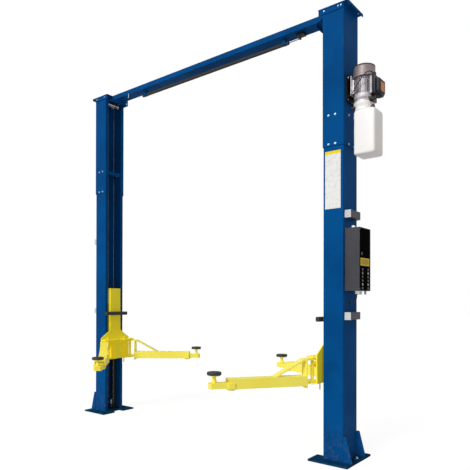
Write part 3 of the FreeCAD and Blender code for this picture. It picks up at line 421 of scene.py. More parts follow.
def lathe(bm, place, axis, outline, steps=32, index=0):
    """Solid of revolution from (radius, height) points, about an axis through a place."""
    turn = Vector(axis).to_track_quat("Z", "Y").to_matrix().to_4x4()
    matrix = Matrix.Translation(place) @ turn
    rings = []
    for radius, height in outline:
        angles = [2 * pi * n / steps for n in range(steps if radius else 1)]
        rings.append([bm.verts.new(matrix @ Vector((radius * cos(a), radius * sin(a), height)))
                      for a in angles])
    for lower, upper in zip(rings, rings[1:]):
        for n in range(steps):
            edges = [(ring[n % len(ring)], ring[(n + 1) % len(ring)]) for ring in (lower, upper)]
            # A point at the axis counts once
            corners = list(dict.fromkeys((edges[0][0], *edges[1], edges[0][1])))
            if len(corners) > 2:
                face = bm.faces.new(corners)
                face.material_index = index
                face.smooth = True


def rounded_ring(bm, middle, half, corner, z, steps=5):
    """Ring of vertices round a rectangle with round corners."""
    ring = []
    for n, (sx, sy) in enumerate(((1, 1), (-1, 1), (-1, -1), (1, -1))):
        for m in range(steps + 1):
            a = pi / 2 * (n + m / steps)
            x = middle[0] + sx * (half[0] - corner) + corner * cos(a)
            y = middle[1] + sy * (half[1] - corner) + corner * sin(a)
            ring.append(bm.verts.new((x, y, z)))
    return ring


def bridge(bm, rings):
    """Skin over rings that all have the same number of vertices, closed at both ends."""
    for lower, upper in zip(rings, rings[1:]):
        for n in range(len(lower)):
            m = (n + 1) % len(lower)
            bm.faces.new([lower[n], lower[m], upper[m], upper[n]])
    bm.faces.new(rings[0][::-1])
    bm.faces.new(rings[-1])


def tube(bm, line, radius, steps=8):
    """Round bar along a line of points."""
    rings = []
    for n, point in enumerate(line):
        ahead = (line[min(n + 1, len(line) - 1)] - line[max(n - 1, 0)]).normalized()
        side = ahead.cross(Vector(UP)).normalized()
        up = side.cross(ahead)
        ring = []
        for m in range(steps):
            a = 2 * pi * m / steps
            ring.append(bm.verts.new(point + side * radius * cos(a) + up * radius * sin(a)))
        rings.append(ring)
    bridge(bm, rings)


# Geometry node trees

class Net:
    """A geometry node tree that is built in the script, with named inputs."""

    def __init__(self, name, inputs):
        self.tree = bpy.data.node_groups.new(name, "GeometryNodeTree")
        new_socket = self.tree.interface.new_socket
        new_socket("Geometry", in_out="INPUT", socket_type="NodeSocketGeometry")
        self.keys = {}
        for label, kind, value in [("Finish", "Material", None), *inputs]:
            socket = new_socket(label, in_out="INPUT", socket_type="NodeSocket" + kind)
            socket.default_value = value
            self.keys[label] = socket.identifier
        new_socket("Geometry", in_out="OUTPUT", socket_type="NodeSocketGeometry")
        self.start = self.add("NodeGroupInput")
        self.end = self.add("NodeGroupOutput")

    def add(self, kind, values=None, **settings):
        return add_node(self.tree, kind, values, **settings)

    def given(self, label):
        return self.start.outputs[label]

    def maths(self, operation, *values):
        return self.add("ShaderNodeMath", dict(enumerate(values)), operation=operation).outputs[0]

    def cylinder(self, vertices, radius, depth):
        values = {"Vertices": vertices, "Radius": radius, "Depth": depth}
        return self.add("GeometryNodeMeshCylinder", values).outputs["Mesh"]

    def moved(self, geometry, place=(0, 0, 0), turn=(0, 0, 0)):
        values = {"Geometry": geometry, "Translation": place, "Rotation": turn}
        return self.add("GeometryNodeTransform", values).outputs[0]

    def joined(self, parts):
        whole = self.add("GeometryNodeJoinGeometry")
        for part in parts:
            self.tree.links.new(part, whole.inputs[0])
        return whole.outputs[0]

    def evened(self, step):
        """The seed's lines as curves, with their points at even steps."""
        line = self.add("GeometryNodeMeshToCurve", {"Mesh": self.given("Geometry")})
        values = {"Curve": line.outputs[0], "Length": self.given(step)}
        return self.add("GeometryNodeResampleCurve", values, mode="LENGTH").outputs[0]

    def close(self, geometry):
        real = self.add("GeometryNodeRealizeInstances", {0: geometry})
        values = {"Geometry": real.outputs[0], "Material": self.given("Finish")}
        coat = self.add("GeometryNodeSetMaterial", values)
        self.tree.links.new(coat.outputs[0], self.end.inputs[0])


def grown(net, seed, finish, slot, body="frame", **values):
    """Runs a tree on a seed mesh and keeps the result as a plain mesh."""
    carrier = linked(seed.name + "_seed", seed)
    modifier = carrier.modifiers.new("grow", "NODES")
    modifier.node_group = net.tree
    modifier[net.keys["Finish"]] = MATERIALS[finish]
    for label, value in values.items():
        modifier[net.keys[label]] = value
    depsgraph = bpy.context.evaluated_depsgraph_get()
    mesh = bpy.data.meshes.new_from_object(carrier.evaluated_get(depsgraph))
    bpy.data.objects.remove(carrier)
    return placed(seed.name, mesh, body)


def points_mesh(name, places):
    """Seed points for fasteners: each has a place, the way it faces and its size."""
    mesh = bpy.data.meshes.new(name)
    mesh.from_pydata([spot[0] for spot in places], [], [])
    mesh.attributes.new("facing", "FLOAT_VECTOR", "POINT")
    mesh.attributes.new("size", "FLOAT", "POINT")
    for n, (place, way, size) in enumerate(places):
        mesh.attributes["facing"].data[n].vector = way
        mesh.attributes["size"].data[n].value = size
    return mesh


def seams_mesh(name, lines):
    """Seed edges for beads and chains."""
    mesh = bpy.data.meshes.new(name)
    places = []
    edges = []
    for line in lines:
        first = len(places)
        places += [tuple(p) for p in line]
        edges += [(first + n, first + n + 1) for n in range(len(line) - 1)]
    mesh.from_pydata(places, edges, [])
    return mesh


def fastener_net():
    """Hexagon head on a washer at each point, a unit across, turned to face outwards."""
    net = Net("hexagon_heads", [("Seed", "Int", 3), ("Head", "Float", 0.62)])
    whole = net.joined((
        net.moved(net.cylinder(6, 0.56, net.given("Head")), (0, 0, 0.44)),
        net.moved(net.cylinder(12, 0.44, 0.06), (0, 0, 0.77)),
        net.moved(net.cylinder(18, 0.92, 0.14), (0, 0, 0.07)),
    ))
    facing = net.add("GeometryNodeInputNamedAttribute", {"Name": "facing"}, data_type="FLOAT_VECTOR")
    size = net.add("GeometryNodeInputNamedAttribute", {"Name": "size"}, data_type="FLOAT")
    spin = net.add("FunctionNodeRandomValue", {"Seed": net.given("Seed")}, data_type="FLOAT")
    turned = net.add("FunctionNodeAlignRotationToVector", {"Vector": facing.outputs[0]}, axis="Z")
    about = net.add("FunctionNodeAxisAngleToRotation", {"Axis": UP, "Angle": spin.outputs["Value"]})
    values = {"Rotation": turned.outputs[0], "Rotate By": about.outputs[0]}
    both = net.add("FunctionNodeRotateRotation", values, rotation_space="LOCAL")
    heads = net.add("GeometryNodeInstanceOnPoints", {
        "Points": net.given("Geometry"), "Instance": whole,
        "Rotation": both.outputs[0], "Scale": size.outputs[0],
    })
    net.close(heads.outputs[0])
    return net


def bead_net():
    """Weld bead along each edge of the seed: a rippled cord that swells and thins."""
    net = Net("weld_bead", [("Radius", "Float", 0.003), ("Ripple", "Float", 0.005)])
    index = net.add("GeometryNodeInputIndex")
    place = net.add("GeometryNodeInputPosition")
    noise = net.add("ShaderNodeTexNoise", {"Vector": place.outputs[0], "Scale": 60.0})
    wave = net.maths("MODULO", index.outputs[0], 2.0)
    thick = net.maths("ADD", net.maths("MULTIPLY_ADD", wave, 0.16, noise.outputs[0]), 0.45)
    radius = net.maths("MULTIPLY", thick, net.given("Radius"))
    ring = net.add("GeometryNodeCurvePrimitiveCircle", {"Resolution": 6, "Radius": 1.0})
    cord = net.add("GeometryNodeCurveToMesh", {
        "Curve": net.evened("Ripple"), "Profile Curve": ring.outputs[0],
        "Scale": radius, "Fill Caps": True,
    })
    net.close(cord.outputs[0])
    return net


# Fasteners

SLEEVE_ROWS = (2.813, 2.578)  # bolts through a post and its extension
SLEEVE_COLUMNS = (1.471, 1.531)
SLEEVE_BOLT = 0.0095  # half across a bolt, as every size below
SLEEVE_NUT = 0.0105
CAP_SKIRT = SLEEVE_FLANK + 0.0053
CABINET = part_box("control_box")
PANEL = CABINET[1].x - 0.0022  # front of the panel, which lies inside the cabinet's rim
RIB_TURN = 12  # angle of the pump bell's first rib, in degrees
RIB_STEP = 60


def mirrored(places):
    """The same fasteners on the far side."""
    return [((-x, y, z), (-fx, fy, fz), size) for (x, y, z), (fx, fy, fz), size in places]


def post_fasteners():
    """Fasteners of the near post: sleeve, cap, beam bracket and floor anchor."""
    places = []
    for z in SLEEVE_ROWS:
        for x in SLEEVE_COLUMNS:
            for way in (-1, 1):
                places.append(((x, way * SLEEVE_FLANK, z), (0, way, 0), SLEEVE_BOLT))
        for y in (-0.04, 0.055):
            places.append(((SLEEVE_BACK, y, z), OUT, SLEEVE_BOLT))
    # The nuts inside the lower row would stop the slide blocks
    for x in SLEEVE_COLUMNS:
        for way in (-1, 1):
            places.append(((x, way * INNER_FLANK, SLEEVE_ROWS[0]), (0, -way, 0), SLEEVE_NUT))
    for x in (1.432, 1.56, 1.584):
        for way in (-1, 1):
            places.append(((x, way * CAP_SKIRT, 3.677), (0, way, 0), 0.0065))
    places += [((BACK + 0.026, y, CAP_UNDERSIDE), (0, 0, -1), 0.006) for y in (-0.09, 0.09)]
    places += [((1.3125, 0.088, z), (-1, 0, 0), 0.009) for z in (3.632, 3.672)]
    places.append(((BACK + 0.04, 0.036, BASE_TOP), UP, 0.019))
    return places


def build_fasteners(net):
    near = post_fasteners()
    seed = points_mesh("post_bolts", near + mirrored(near))
    grown(net, seed, "zinc", "polished_steel")
    unit = []
    circle = 0.0738
    for n in range(6):
        # Halfway between two ribs of the bell
        a = radians(RIB_TURN + RIB_STEP * (n + 0.5))
        unit.append(((UNIT_X + circle * cos(a), circle * sin(a), 2.9018), UP, 0.0058))
    for y in (-0.08, 0.08):
        for z in (2.925, 3.102):
            unit.append(((BRACKET_FRONT, y, z), OUT, 0.007))
    for z in (1.4, 1.875):
        for y in (-0.09, 0.1):
            unit.append(((PANEL, y, z), OUT, 0.0035))
    grown(net, points_mesh("unit_bolts", unit), "zinc", "polished_steel")
    for side, sign in SIDES.items():
        guard = sign * (FACE - 0.0343)
        places = [((guard, y, 1.153), (-sign, 0, 0), 0.006) for y in (-0.12, -0.04, 0.04, 0.12)]
        seed = points_mesh(side + "_guard_bolts", places)
        grown(net, seed, "black_plastic", "black_rubber", side + "_carriage")


# Welds

SEAM_END = 0.01  # a seam stops this far from a corner
LUG_FACES = (0.85, 0.838, 0.642, 0.63)
# Seams of an arm, from its pin: along it, beside it and up from the floor
ARM_SEAMS = (
    *[((0.07, y, 0.614), (0.07, y, 0.7)) for y in (-0.048, 0.048)],
    *[((0.668, y, 0.662), (0.72, y, 0.662)) for y in (-0.05, 0.05)],
    ((0.333, -0.041, 0.697), (0.333, 0.041, 0.697)),
    ((0.071, -0.042, 0.822), (0.071, 0.042, 0.822)),
)


def post_seams():
    """Seams of the near post: foot, gussets, cap, beam bracket and its ear."""
    lines = []
    for y in (-POST_FLANK, POST_FLANK):
        lines.append([(OPENING + SEAM_END, y, BASE_TOP), (BACK - SEAM_END, y, BASE_TOP)])
    lines.append([(BACK, -POST_FLANK + SEAM_END, BASE_TOP), (BACK, POST_FLANK - SEAM_END, BASE_TOP)])
    for y in (-POST_FLANK + 0.008, POST_FLANK - 0.008):
        lines.append([(BACK, y, 0.215), (BACK, y, BASE_TOP), (BACK + 0.07, y, BASE_TOP)])
    for y in (-SLEEVE_FLANK, SLEEVE_FLANK):
        lines.append([(OPENING + SEAM_END, y, CAP_UNDERSIDE),
                      (SLEEVE_BACK - SEAM_END, y, CAP_UNDERSIDE)])
    lines.append([(SLEEVE_BACK, -0.12, CAP_UNDERSIDE), (SLEEVE_BACK, 0.12, CAP_UNDERSIDE)])
    for y in (-0.062, 0.062):
        lines.append([(1.316, y, 3.65), (1.378, y, 3.65)])
    lines.append([(1.4145, 0.104, 3.618), (1.4145, 0.104, 3.648)])
    return lines


def build_welds(net):
    near = post_seams()
    lines = [[(s * x, y, z) for x, y, z in line] for s in (1, -1) for line in near]
    grown(net, seams_mesh("frame_welds", lines), "blue", "blue_paint", Radius=0.0032)
    for side, sign in SIDES.items():
        x = sign * FACE
        lines = []
        for z in LUG_FACES:
            for a, b in ((-0.195, -0.075), (0.075, 0.195), (-0.06, 0.06)):
                lines.append([(x, a, z), (x, b, z)])
        for y in (-0.071, -0.063, 0.063, 0.071):
            lines.append([(x, y, 0.645), (x, y, 0.835)])
        seed = seams_mesh(side + "_carriage_welds", lines)
        # The carriage welds take the shaded copy of the yellow: painted shade.
        grown(net, seed, "shaded_copy_yellow", "yellow_paint", side + "_carriage", Radius=0.0028)
    for arm, (side, front, angle) in ARMS.items():
        a = radians(angle)
        along = Vector((cos(a), sin(a), 0))
        beside = Vector((-sin(a), cos(a), 0))
        pivot = Vector((side * PIVOT[0], front * PIVOT[1], 0))
        lines = []
        for seam in ARM_SEAMS:
            lines.append([pivot + along * x + beside * y + Vector((0, 0, z)) for x, y, z in seam])
        seed = seams_mesh(arm + "_welds", lines)
        grown(net, seed, "yellow", "yellow_paint", arm + "_arm", Radius=0.0026)


# Plates and the control box

# Lamps from the top row down, left and right of the panel: 0 dim, 1 white, 2 green
LAMPS = ((0, 0), (2, 1), (0, 0), (0, 0), (1, 1), (0, 0))
LAMP_COLUMNS = (-0.037, 0.068)
LAMP_TOP = 1.557
LAMP_PITCH = 0.03


def build_plates():
    """Blank plates and signs on the post and the cabinet, and a thin white strip on the beam that is a
    painted highlight.
    """
    bm = bmesh.new()
    front = -POST_FLANK - 0.0008
    block(bm, (1.438, front, 2.052), (1.577, -POST_FLANK, 2.495))
    block(bm, (1.438, front, 2.495), (1.577, -POST_FLANK, 2.521), index=1)
    piece("post_sign", bm, ["plate_white", "plate_yellow"])
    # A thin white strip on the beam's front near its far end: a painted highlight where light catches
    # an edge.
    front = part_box("beam")[0].y
    bm = bmesh.new()
    block(bm, (-1.101, front - 0.0006, 3.606), (-1.095, front, 3.658))
    piece("beam_painted_highlight", bm, "plate_white")
    bm = bmesh.new()
    block(bm, (PANEL, -0.077, 1.586), (PANEL + 0.0008, 0.092, 1.648))
    block(bm, (PANEL + 0.0004, -0.058, 1.596), (PANEL + 0.0011, 0.075, 1.638), index=1)
    piece("cabinet_sign", bm, ["plate_yellow", "plate_ochre"])


def gland_outline(r):
    return [(0, 0), (r, 0.0), (r, 0.006), (r * 0.86, 0.008), (r * 0.86, 0.014), (r * 0.95, 0.015),
            (r * 0.95, 0.022), (r * 0.6, 0.03), (r * 0.4, 0.031), (0.0, 0.031)]


def build_cabinet():
    """Panel, lamps and their rings, glands and knob of the control box."""
    low, high = CABINET
    rim = 0.0055
    bm = bmesh.new()
    block(bm, (high.x - 0.003, low.y + rim, low.z + rim), (PANEL, high.y - rim, high.z - rim))
    piece("cabinet_panel", bm, "panel")
    bm = bmesh.new()
    lamps = bmesh.new()
    face = PANEL - 0.0002
    for row, kinds in enumerate(LAMPS):
        for y, kind in zip(LAMP_COLUMNS, kinds):
            spot = (face, y, LAMP_TOP - row * LAMP_PITCH)
            r = 0.0105 if kind else 0.0085
            ring = [(r, 0.0), (r + 0.0022, 0.0), (r + 0.0018, 0.0016), (r, 0.0016)]
            lens_cap = [(0, 0), (r, 0.0), (r, 0.0014), (r * 0.7, 0.0019), (0.0, 0.002)]
            lathe(bm, spot, OUT, ring, 24)
            lathe(lamps, spot, OUT, lens_cap, 24, kind)
    lock = [(0, 0), (0.012, 0.0), (0.012, 0.0018), (0.01, 0.002), (0.0, 0.0012)]
    lathe(bm, (face, -0.053, 1.682), OUT, lock, 24)
    piece("cabinet_rings", bm, "cover_dark")
    made = piece("cabinet_lamps", lamps, ["dim", "white_lens", "green"])
    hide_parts("control_buttons")
    # The white glands glow: painted light.
    for name, finish, slot, y, glands in (
        ("white_glands", "white_gland", "white_plastic", 0.0, ((1.658, 0.0155), (1.69, 0.014))),
        ("grey_glands", "cover", "grey_plastic", 0.05, ((1.708, 0.01), (1.637, 0.01))),
    ):
        bm = bmesh.new()
        for x, radius in glands:
            lathe(bm, (x, y, low.z + 0.001), (0, 0, -1), gland_outline(radius), 24)
        piece(name, bm, finish)
    bm = bmesh.new()
    knob = [
        (0, 0), (0.011, 0.0), (0.011, 0.003), (0.009, 0.004), (0.009, 0.006),
        (0.014, 0.008), (0.015, 0.013), (0.014, 0.021), (0.0095, 0.025), (0.0, 0.026),
    ]
    lathe(bm, (1.642, -0.03, high.z - 0.0005), UP, knob, 28)
    # The knob glows: painted light.
    piece("cabinet_knob", bm, "white_gland")


# Power unit

TANK_HALF = 0.09
# Height, inset and corner radius of each ring of the tank, from its foot up
TANK_RINGS = (
    (2.463, 0.02, 0.01), (2.4645, 0.013, 0.014), (2.469, 0.006, 0.018), (2.477, 0.001, 0.02),
    (2.485, 0.0, 0.02), (2.57, 0.0006, 0.02), (2.65, 0.0, 0.02), (2.73, 0.0006, 0.02),
    (2.796, 0.0, 0.02), (2.808, 0.0015, 0.021), (2.818, 0.007, 0.022), (2.825, 0.017, 0.024),
    (2.829, 0.031, 0.024), (2.831, 0.04, 0.022),
)


def build_tank():
    """Blow-moulded tank: soft corners, rolled shoulders, a seam and a collar under the pump."""
    low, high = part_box("oil_tank")
    middle = ((low.x + high.x) / 2, 0.0)
    half = ((high.x - low.x) / 2, TANK_HALF)
    bm = bmesh.new()
    rings = []
    for z, inset, corner in TANK_RINGS:
        rings.append(rounded_ring(bm, middle, (half[0] - inset, half[1] - inset), corner, z))
    bridge(bm, rings)
    collar = [
        (0, 0), (0.078, 0.0), (0.0745, 0.006), (0.0745, 0.03), (0.079, 0.04),
        (0.083, 0.052), (0.083, 0.06), (0.0815, 0.0635), (0.0, 0.0635),
    ]
    lathe(bm, (UNIT_X, 0.0, 2.826), UP, collar, 48)
    made = piece("moulded_tank", bm, "tank", sharp=50)
    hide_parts("oil_tank")
    bm = bmesh.new()
    for y in (-TANK_HALF - 0.0002, TANK_HALF + 0.0002):
        block(bm, (middle[0] - 0.0012, y - 0.0006, 2.486),
              (middle[0] + 0.0012, y + 0.0006, 2.8), 0.0005)
    piece("tank_seam", bm, "tank")


def build_pump():
    """Cast bell with its ribs, the valve block, the bracket's block and the motor's foot."""
    bm = bmesh.new()
    bell = [
        (0.0, 2.889), (0.08, 2.889), (0.0815, 2.8905), (0.0815, 2.9005), (0.08, 2.902),
        (0.068, 2.903), (0.067, 2.906), (0.069, 2.912), (0.077, 2.918), (0.08, 2.922),
        (0.0815, 2.926), (0.0815, 2.954), (0.08, 2.957), (0.0, 2.957),
    ]
    lathe(bm, (UNIT_X, 0.0, 0.0), UP, bell, 48)
    for n in range(6):
        a = radians(RIB_STEP * n + RIB_TURN)
        way = Vector((cos(a), sin(a), 0))
        side = Vector((-sin(a), cos(a), 0)) * 0.003
        sides = []
        for offset in (-1, 1):
            corners = ((0.06, 2.9), (0.077, 2.901), (0.08, 2.924), (0.06, 2.924))
            sides.append([bm.verts.new(Vector((UNIT_X, 0.0, z)) + way * r + side * offset)
                          for r, z in corners])
        bridge(bm, sides)
    piece("pump_bell", bm, "alloy", sharp=35)
    bm = bmesh.new()
    block(bm, (1.788, -0.044, 2.878), (1.82, 0.018, 2.914), 0.003)
    block(bm, (1.64, -0.03, 2.878), (1.662, 0.03, 2.908), 0.003)
    plug = [(0, 0), (0.008, 0.0), (0.008, 0.01), (0.006, 0.012), (0.006, 0.018), (0.0, 0.018)]
    lathe(bm, (1.806, -0.03, 2.912), UP, plug, 16)
    made = piece("valve_block", bm, "dark_cast")
    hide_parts("pump_block")
    bm = bmesh.new()
    block(bm, (SLEEVE_BACK, -0.094, 2.908), (BRACKET_FRONT, 0.094, 3.12), 0.002)
    block(bm, (1.617, -0.04, 2.95), (1.634, 0.04, 3.1), 0.002)
    piece("bracket_block", bm, "black")
    bm = bmesh.new()
    block(bm, (1.6335, -0.068, 2.958), (1.6395, 0.068, 3.114), 0.0015)
    for y in (-0.046, 0.046):
        block(bm, (1.639, y - 0.006, 2.972), (1.656, y + 0.006, 3.084), 0.0015)
    made = piece("motor_foot", bm, "alloy")
    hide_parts("motor_bracket")


def build_fan():
    """Rims of the fan's cowl and the rings of its grille."""
    low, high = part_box("fan_cover")
    bm = bmesh.new()
    upper = [(0.08, -0.004), (0.0862, -0.006), (0.0862, -0.0035), (0.084, 0.0),
             (0.08, 0.0), (0.08, -0.004)]
    lower = [(0.085, 0.0), (0.0868, 0.0), (0.0868, 0.006), (0.085, 0.007), (0.085, 0.0)]
    lathe(bm, (UNIT_X, 0.0, high.z), UP, upper, 56)
    lathe(bm, (UNIT_X, 0.0, low.z), UP, lower, 56)
    piece("fan_rims", bm, "fan_rim")
    bm = bmesh.new()
    foot, crest = 0.0016, 0.001  # half widths of a ring of the grille
    for r in (0.018, 0.03, 0.042, 0.054, 0.066):
        ring = [(r - foot, -0.0002), (r + foot, -0.0002), (r + crest, 0.0016), (r - crest, 0.0016),
                (r - foot, -0.0002)]
        lathe(bm, (UNIT_X, 0.0, high.z), UP, ring, 40)
    piece("fan_grille", bm, "fan")


def build_fittings():
    """Filler cap and elbow on the tank, and the release lever."""
    bm = bmesh.new()
    cap = [(0, 0), (0.014, 0.0), (0.015, 0.003), (0.015, 0.012), (0.011, 0.015),
           (0.011, 0.024), (0.0, 0.025)]
    lathe(bm, (1.812, -0.052, 2.838), (0.55, -0.35, -0.45), cap, 20)
    elbow = [(0, 0), (0.012, 0.0), (0.012, 0.02), (0.009, 0.024), (0.009, 0.034), (0.0, 0.034)]
    lathe(bm, (1.662, -0.045, 2.853), (-0.5, -0.6, 0.0), elbow, 16)
    piece("pipe_fittings", bm, "stained")
    bm = bmesh.new()
    stem = [(0, 0), (0.008, 0.0), (0.008, 0.024), (0.0, 0.024)]
    lathe(bm, (1.794, -0.044, 2.886), (1, -0.35, 0.05), stem, 14)
    loop = []
    for n in range(33):
        a = 2 * pi * n / 32
        loop.append(Vector((1.828 + 0.036 * cos(a), -0.06 + 0.018 * sin(a),
                            2.894 + 0.006 * cos(a))))
    tube(bm, loop, 0.005)
    piece("release_lever", bm, "black_plastic")


def build_switch():
    """Terminal box: its pad, its housing with a rounded front, its window and its screws."""
    low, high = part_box("terminal_box")
    inner, outer = low.x + 0.034, high.x - 0.004
    bm = bmesh.new()
    block(bm, (low.x, -0.062, 2.932), (inner - 0.007, 0.062, 3.078), 0.006)
    block(bm, (inner - 0.016, -0.0815, 2.9275), (inner + 0.012, -0.055, 3.081), 0.005)
    block(bm, (inner - 0.0085, -0.0815, 2.9275), (inner, 0.0635, 3.081), 0.005)
    # The front is square above and half round below
    r, top, waist, centre = 0.056, 3.049, 2.963, 2.99
    profile = [(-r, top), (r, top), (r, waist)]
    for n in range(1, 24):
        a = pi * n / 24
        profile.append((r * cos(a), waist - r * sin(a)))
    profile.append((-r, waist))
    rings = []
    for x, share in ((inner - 0.001, 1.0), (outer - 0.008, 0.985),
                     (outer - 0.003, 0.94), (outer, 0.87)):
        rings.append([bm.verts.new((x, y * share, centre + (z - centre) * share)) for y, z in profile])
    bridge(bm, rings)
    pad = bmesh.new()
    block(pad, (1.795, -0.07, 2.936), (inner - 0.0155, -0.059, 3.074), 0.003)
    block(pad, (1.797, -0.06, 2.94), (inner - 0.0155, 0.06, 3.07), 0.003)
    piece("terminal_pad", pad, "cast")
    made = piece("switch_housing", bm, "black_plastic", sharp=40)
    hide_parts("terminal_box")
    bm = bmesh.new()
    block(bm, (outer - 0.001, -0.04, 2.95), (outer + 0.002, 0.036, 3.024), 0.0018)
    piece("switch_window", bm, "amber")
    bm = bmesh.new()
    for left, right, foot, head in ((-0.044, 0.04, 3.024, 3.03), (-0.044, 0.04, 2.944, 2.95),
                                    (-0.046, -0.04, 2.944, 3.03), (0.036, 0.042, 2.944, 3.03)):
        block(bm, (outer - 0.001, left, foot), (outer + 0.0035, right, head), 0.0012)
    piece("switch_frame", bm, "black_plastic")
    bm = bmesh.new()
    screw = [(0.0, -0.001), (0.005, -0.001), (0.005, 0.0016), (0.0036, 0.0026), (0.0, 0.0026)]
    for y in (-0.054, 0.054):
        for z in (2.938, 3.07):
            lathe(bm, (inner, y, z), OUT, screw, 14)
    piece("terminal_screws", bm, "zinc")


# Chains and cables

CHAIN_PITCH = 0.0254
LINK = 0.0017  # thickness of a link plate
STRAND_HALF = 0.007  # half the width of a strand
# The same points as in the solids
MOTOR_ROUTE = [
    (1.6175, -0.084, 2.95), (1.64, -0.085, 2.953), (1.668, -0.093, 2.971), (1.698, -0.101, 3.004),
    (1.732, -0.113, 3.037), (1.762, -0.122, 3.065), (1.788, -0.12, 3.085), (1.809, -0.106, 3.095),
    (1.821, -0.083, 3.096), (1.822, -0.058, 3.092),
]
CONTROL_ROUTE = [
    (1.658, 0.0, 1.354), (1.6575, 0.0, 1.337), (1.652, 0.0005, 1.316),
    (1.641, 0.0015, 1.299), (1.625, 0.0015, 1.289), (1.609, 0.0005, 1.287),
]


def leaf_net():
    """Leaf chain along each line: two sets of link plates by turns, and a pin at each joint."""
    net = Net("leaf_chain", [("Pitch", "Float", CHAIN_PITCH), ("Height", "Float", 0.0068)])
    even = net.evened("Pitch")
    tangent = net.add("GeometryNodeInputTangent")
    turned = net.add("FunctionNodeAlignRotationToVector", {"Vector": tangent.outputs[0]},
                     axis="Z", pivot_axis="Y")
    last = net.add("GeometryNodeCurveEndpointSelection", {"Start Size": 0, "End Size": 1})
    inside = net.add("FunctionNodeBooleanMath", {0: last.outputs[0]}, operation="NOT")
    index = net.add("GeometryNodeInputIndex")
    half = net.maths("MODULO", index.outputs[0], 2.0)
    lying = (pi / 2, 0, 0)
    sets = []
    for turn, lanes in ((0.0, (-0.0031, 0.0009)), (1.0, (-0.0011, 0.0029))):
        waist = net.add("GeometryNodeMeshCube", {"Size": (0.0088, LINK, CHAIN_PITCH)}).outputs["Mesh"]
        eye = net.cylinder(14, net.given("Height"), LINK)
        plates = []
        for lane in lanes:
            for height in (0.0, CHAIN_PITCH):
                plates.append(net.moved(eye, (0, lane, height), lying))
            plates.append(net.moved(waist, (0, lane, CHAIN_PITCH / 2)))
        own = net.add("FunctionNodeCompare", {"A": half, "B": turn},
                      data_type="FLOAT", operation="EQUAL")
        both = {0: own.outputs[0], 1: inside.outputs[0]}
        chosen = net.add("FunctionNodeBooleanMath", both, operation="AND")
        links = net.add("GeometryNodeInstanceOnPoints", {
            "Points": even, "Selection": chosen.outputs[0],
            "Instance": net.joined(plates), "Rotation": turned.outputs[0]})
        sets.append(links.outputs[0])
    pin = net.moved(net.cylinder(10, 0.0026, 0.008), turn=lying)
    pins = net.add("GeometryNodeInstanceOnPoints", {"Points": even, "Instance": pin})
    net.close(net.joined([*sets, pins.outputs[0]]))
    return net


def build_chains(net):
    """Link plates and pins in place of each plain strand."""
    held = []
    blocks = bmesh.new()
    for side, sign in SIDES.items():
        low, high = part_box(side + "_wheel_chain")
        inner, outer = (low.x, high.x) if sign > 0 else (high.x, low.x)
        inner += sign * STRAND_HALF
        outer -= sign * STRAND_HALF
        lane = (low.y + high.y) / 2
        centre = (inner + outer) / 2
        radius = abs(outer - inner) / 2
        height = high.z - radius - STRAND_HALF
        bow = []
        for n in range(25):
            a = pi * n / 24
            bow.append((centre + (outer - centre) * cos(a), lane, height + radius * sin(a)))
        line = [(outer, lane, low.z)] + bow + [(inner, lane, 1.21)]
        seed = seams_mesh(side + "_wheel_links", [line])
        made = grown(net, seed, "chain", "chain_steel", side + "_ram")
        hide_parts(side + "_wheel_chain")
        low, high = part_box(side + "_carriage_chain")
        x, y = (low.x + high.x) / 2, (low.y + high.y) / 2
        seed = seams_mesh(side + "_hung_links", [[(x, y, low.z), (x, y, high.z)]])
        made = grown(net, seed, "chain", "chain_steel", side + "_carriage")
        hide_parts(side + "_carriage_chain")
        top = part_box("floor_chains")[1].z
        held.append([(outer, y, ANCHOR_TOP), (outer, y, top)])
        block(blocks, (outer - STRAND_HALF, 0.072, BASE_TOP),
              (outer + STRAND_HALF, 0.1, ANCHOR_TOP), 0.002)
    made = grown(net, seams_mesh("floor_links", held), "chain", "chain_steel")
    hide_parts("floor_chains")
    piece("chain_anchors", blocks, "chain")


def build_cord(name, route, radius):
    """Cable along its route."""
    curve = bpy.data.curves.new(name, "CURVE")
    curve.dimensions = "3D"
    line = curve.splines.new("NURBS")
    line.points.add(len(route) - 1)
    for point, place in zip(line.points, route):
        point.co = (*place, 1.0)
    line.order_u = 3
    line.use_endpoint_u = True
    line.resolution_u = 8
    curve.bevel_depth = radius
    curve.bevel_resolution = 4
    curve.use_fill_caps = True
    curve.materials.append(MATERIALS["cable"])
    made = placed(name, curve, "frame")
    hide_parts(name)


# Pads and latch covers

GRIPS = ((0.018, 8), (0.029, 14))  # radius of each ring of grips, and how many it has
GRIP = ((0, 0), (0.003, 0.0), (0.0024, 0.0026), (0.0, 0.0026))


def build_pads():
    """Moulded pads: a rim with a groove round it, and a dish with two rings of grips."""
    for arm in ARMS:
        low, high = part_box(arm + "_pad")
        x, y = (low.x + high.x) / 2, (low.y + high.y) / 2
        r = (high.x - low.x) / 2
        t = high.z - low.z
        bm = bmesh.new()
        outline = [
            (0, 0), (r - 0.003, 0.0), (r, 0.003), (r, t * 0.4), (r - 0.0012, t * 0.46), (r, t * 0.52),
            (r, t - 0.005), (r - 0.0015, t - 0.002), (r - 0.005, t), (r - 0.009, t),
            (r - 0.0105, t - 0.0022), (r - 0.0125, t - 0.0022), (r - 0.014, t), (0.038, t),
            (0.036, t - 0.003), (0.011, t - 0.003), (0.01, t - 0.0045), (0.0, t - 0.0045),
        ]
        lathe(bm, (x, y, low.z), UP, outline, 56)
        for ring, count in GRIPS:
            for n in range(count):
                a = 2 * pi * (n + 0.5) / count
                spot = (x + ring * cos(a), y + ring * sin(a), high.z - 0.0034)
                lathe(bm, spot, UP, GRIP, 8)
        made = piece(arm + "_moulded_pad", bm, "rubber", arm + "_pad", sharp=40)
        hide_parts(arm + "_pad")


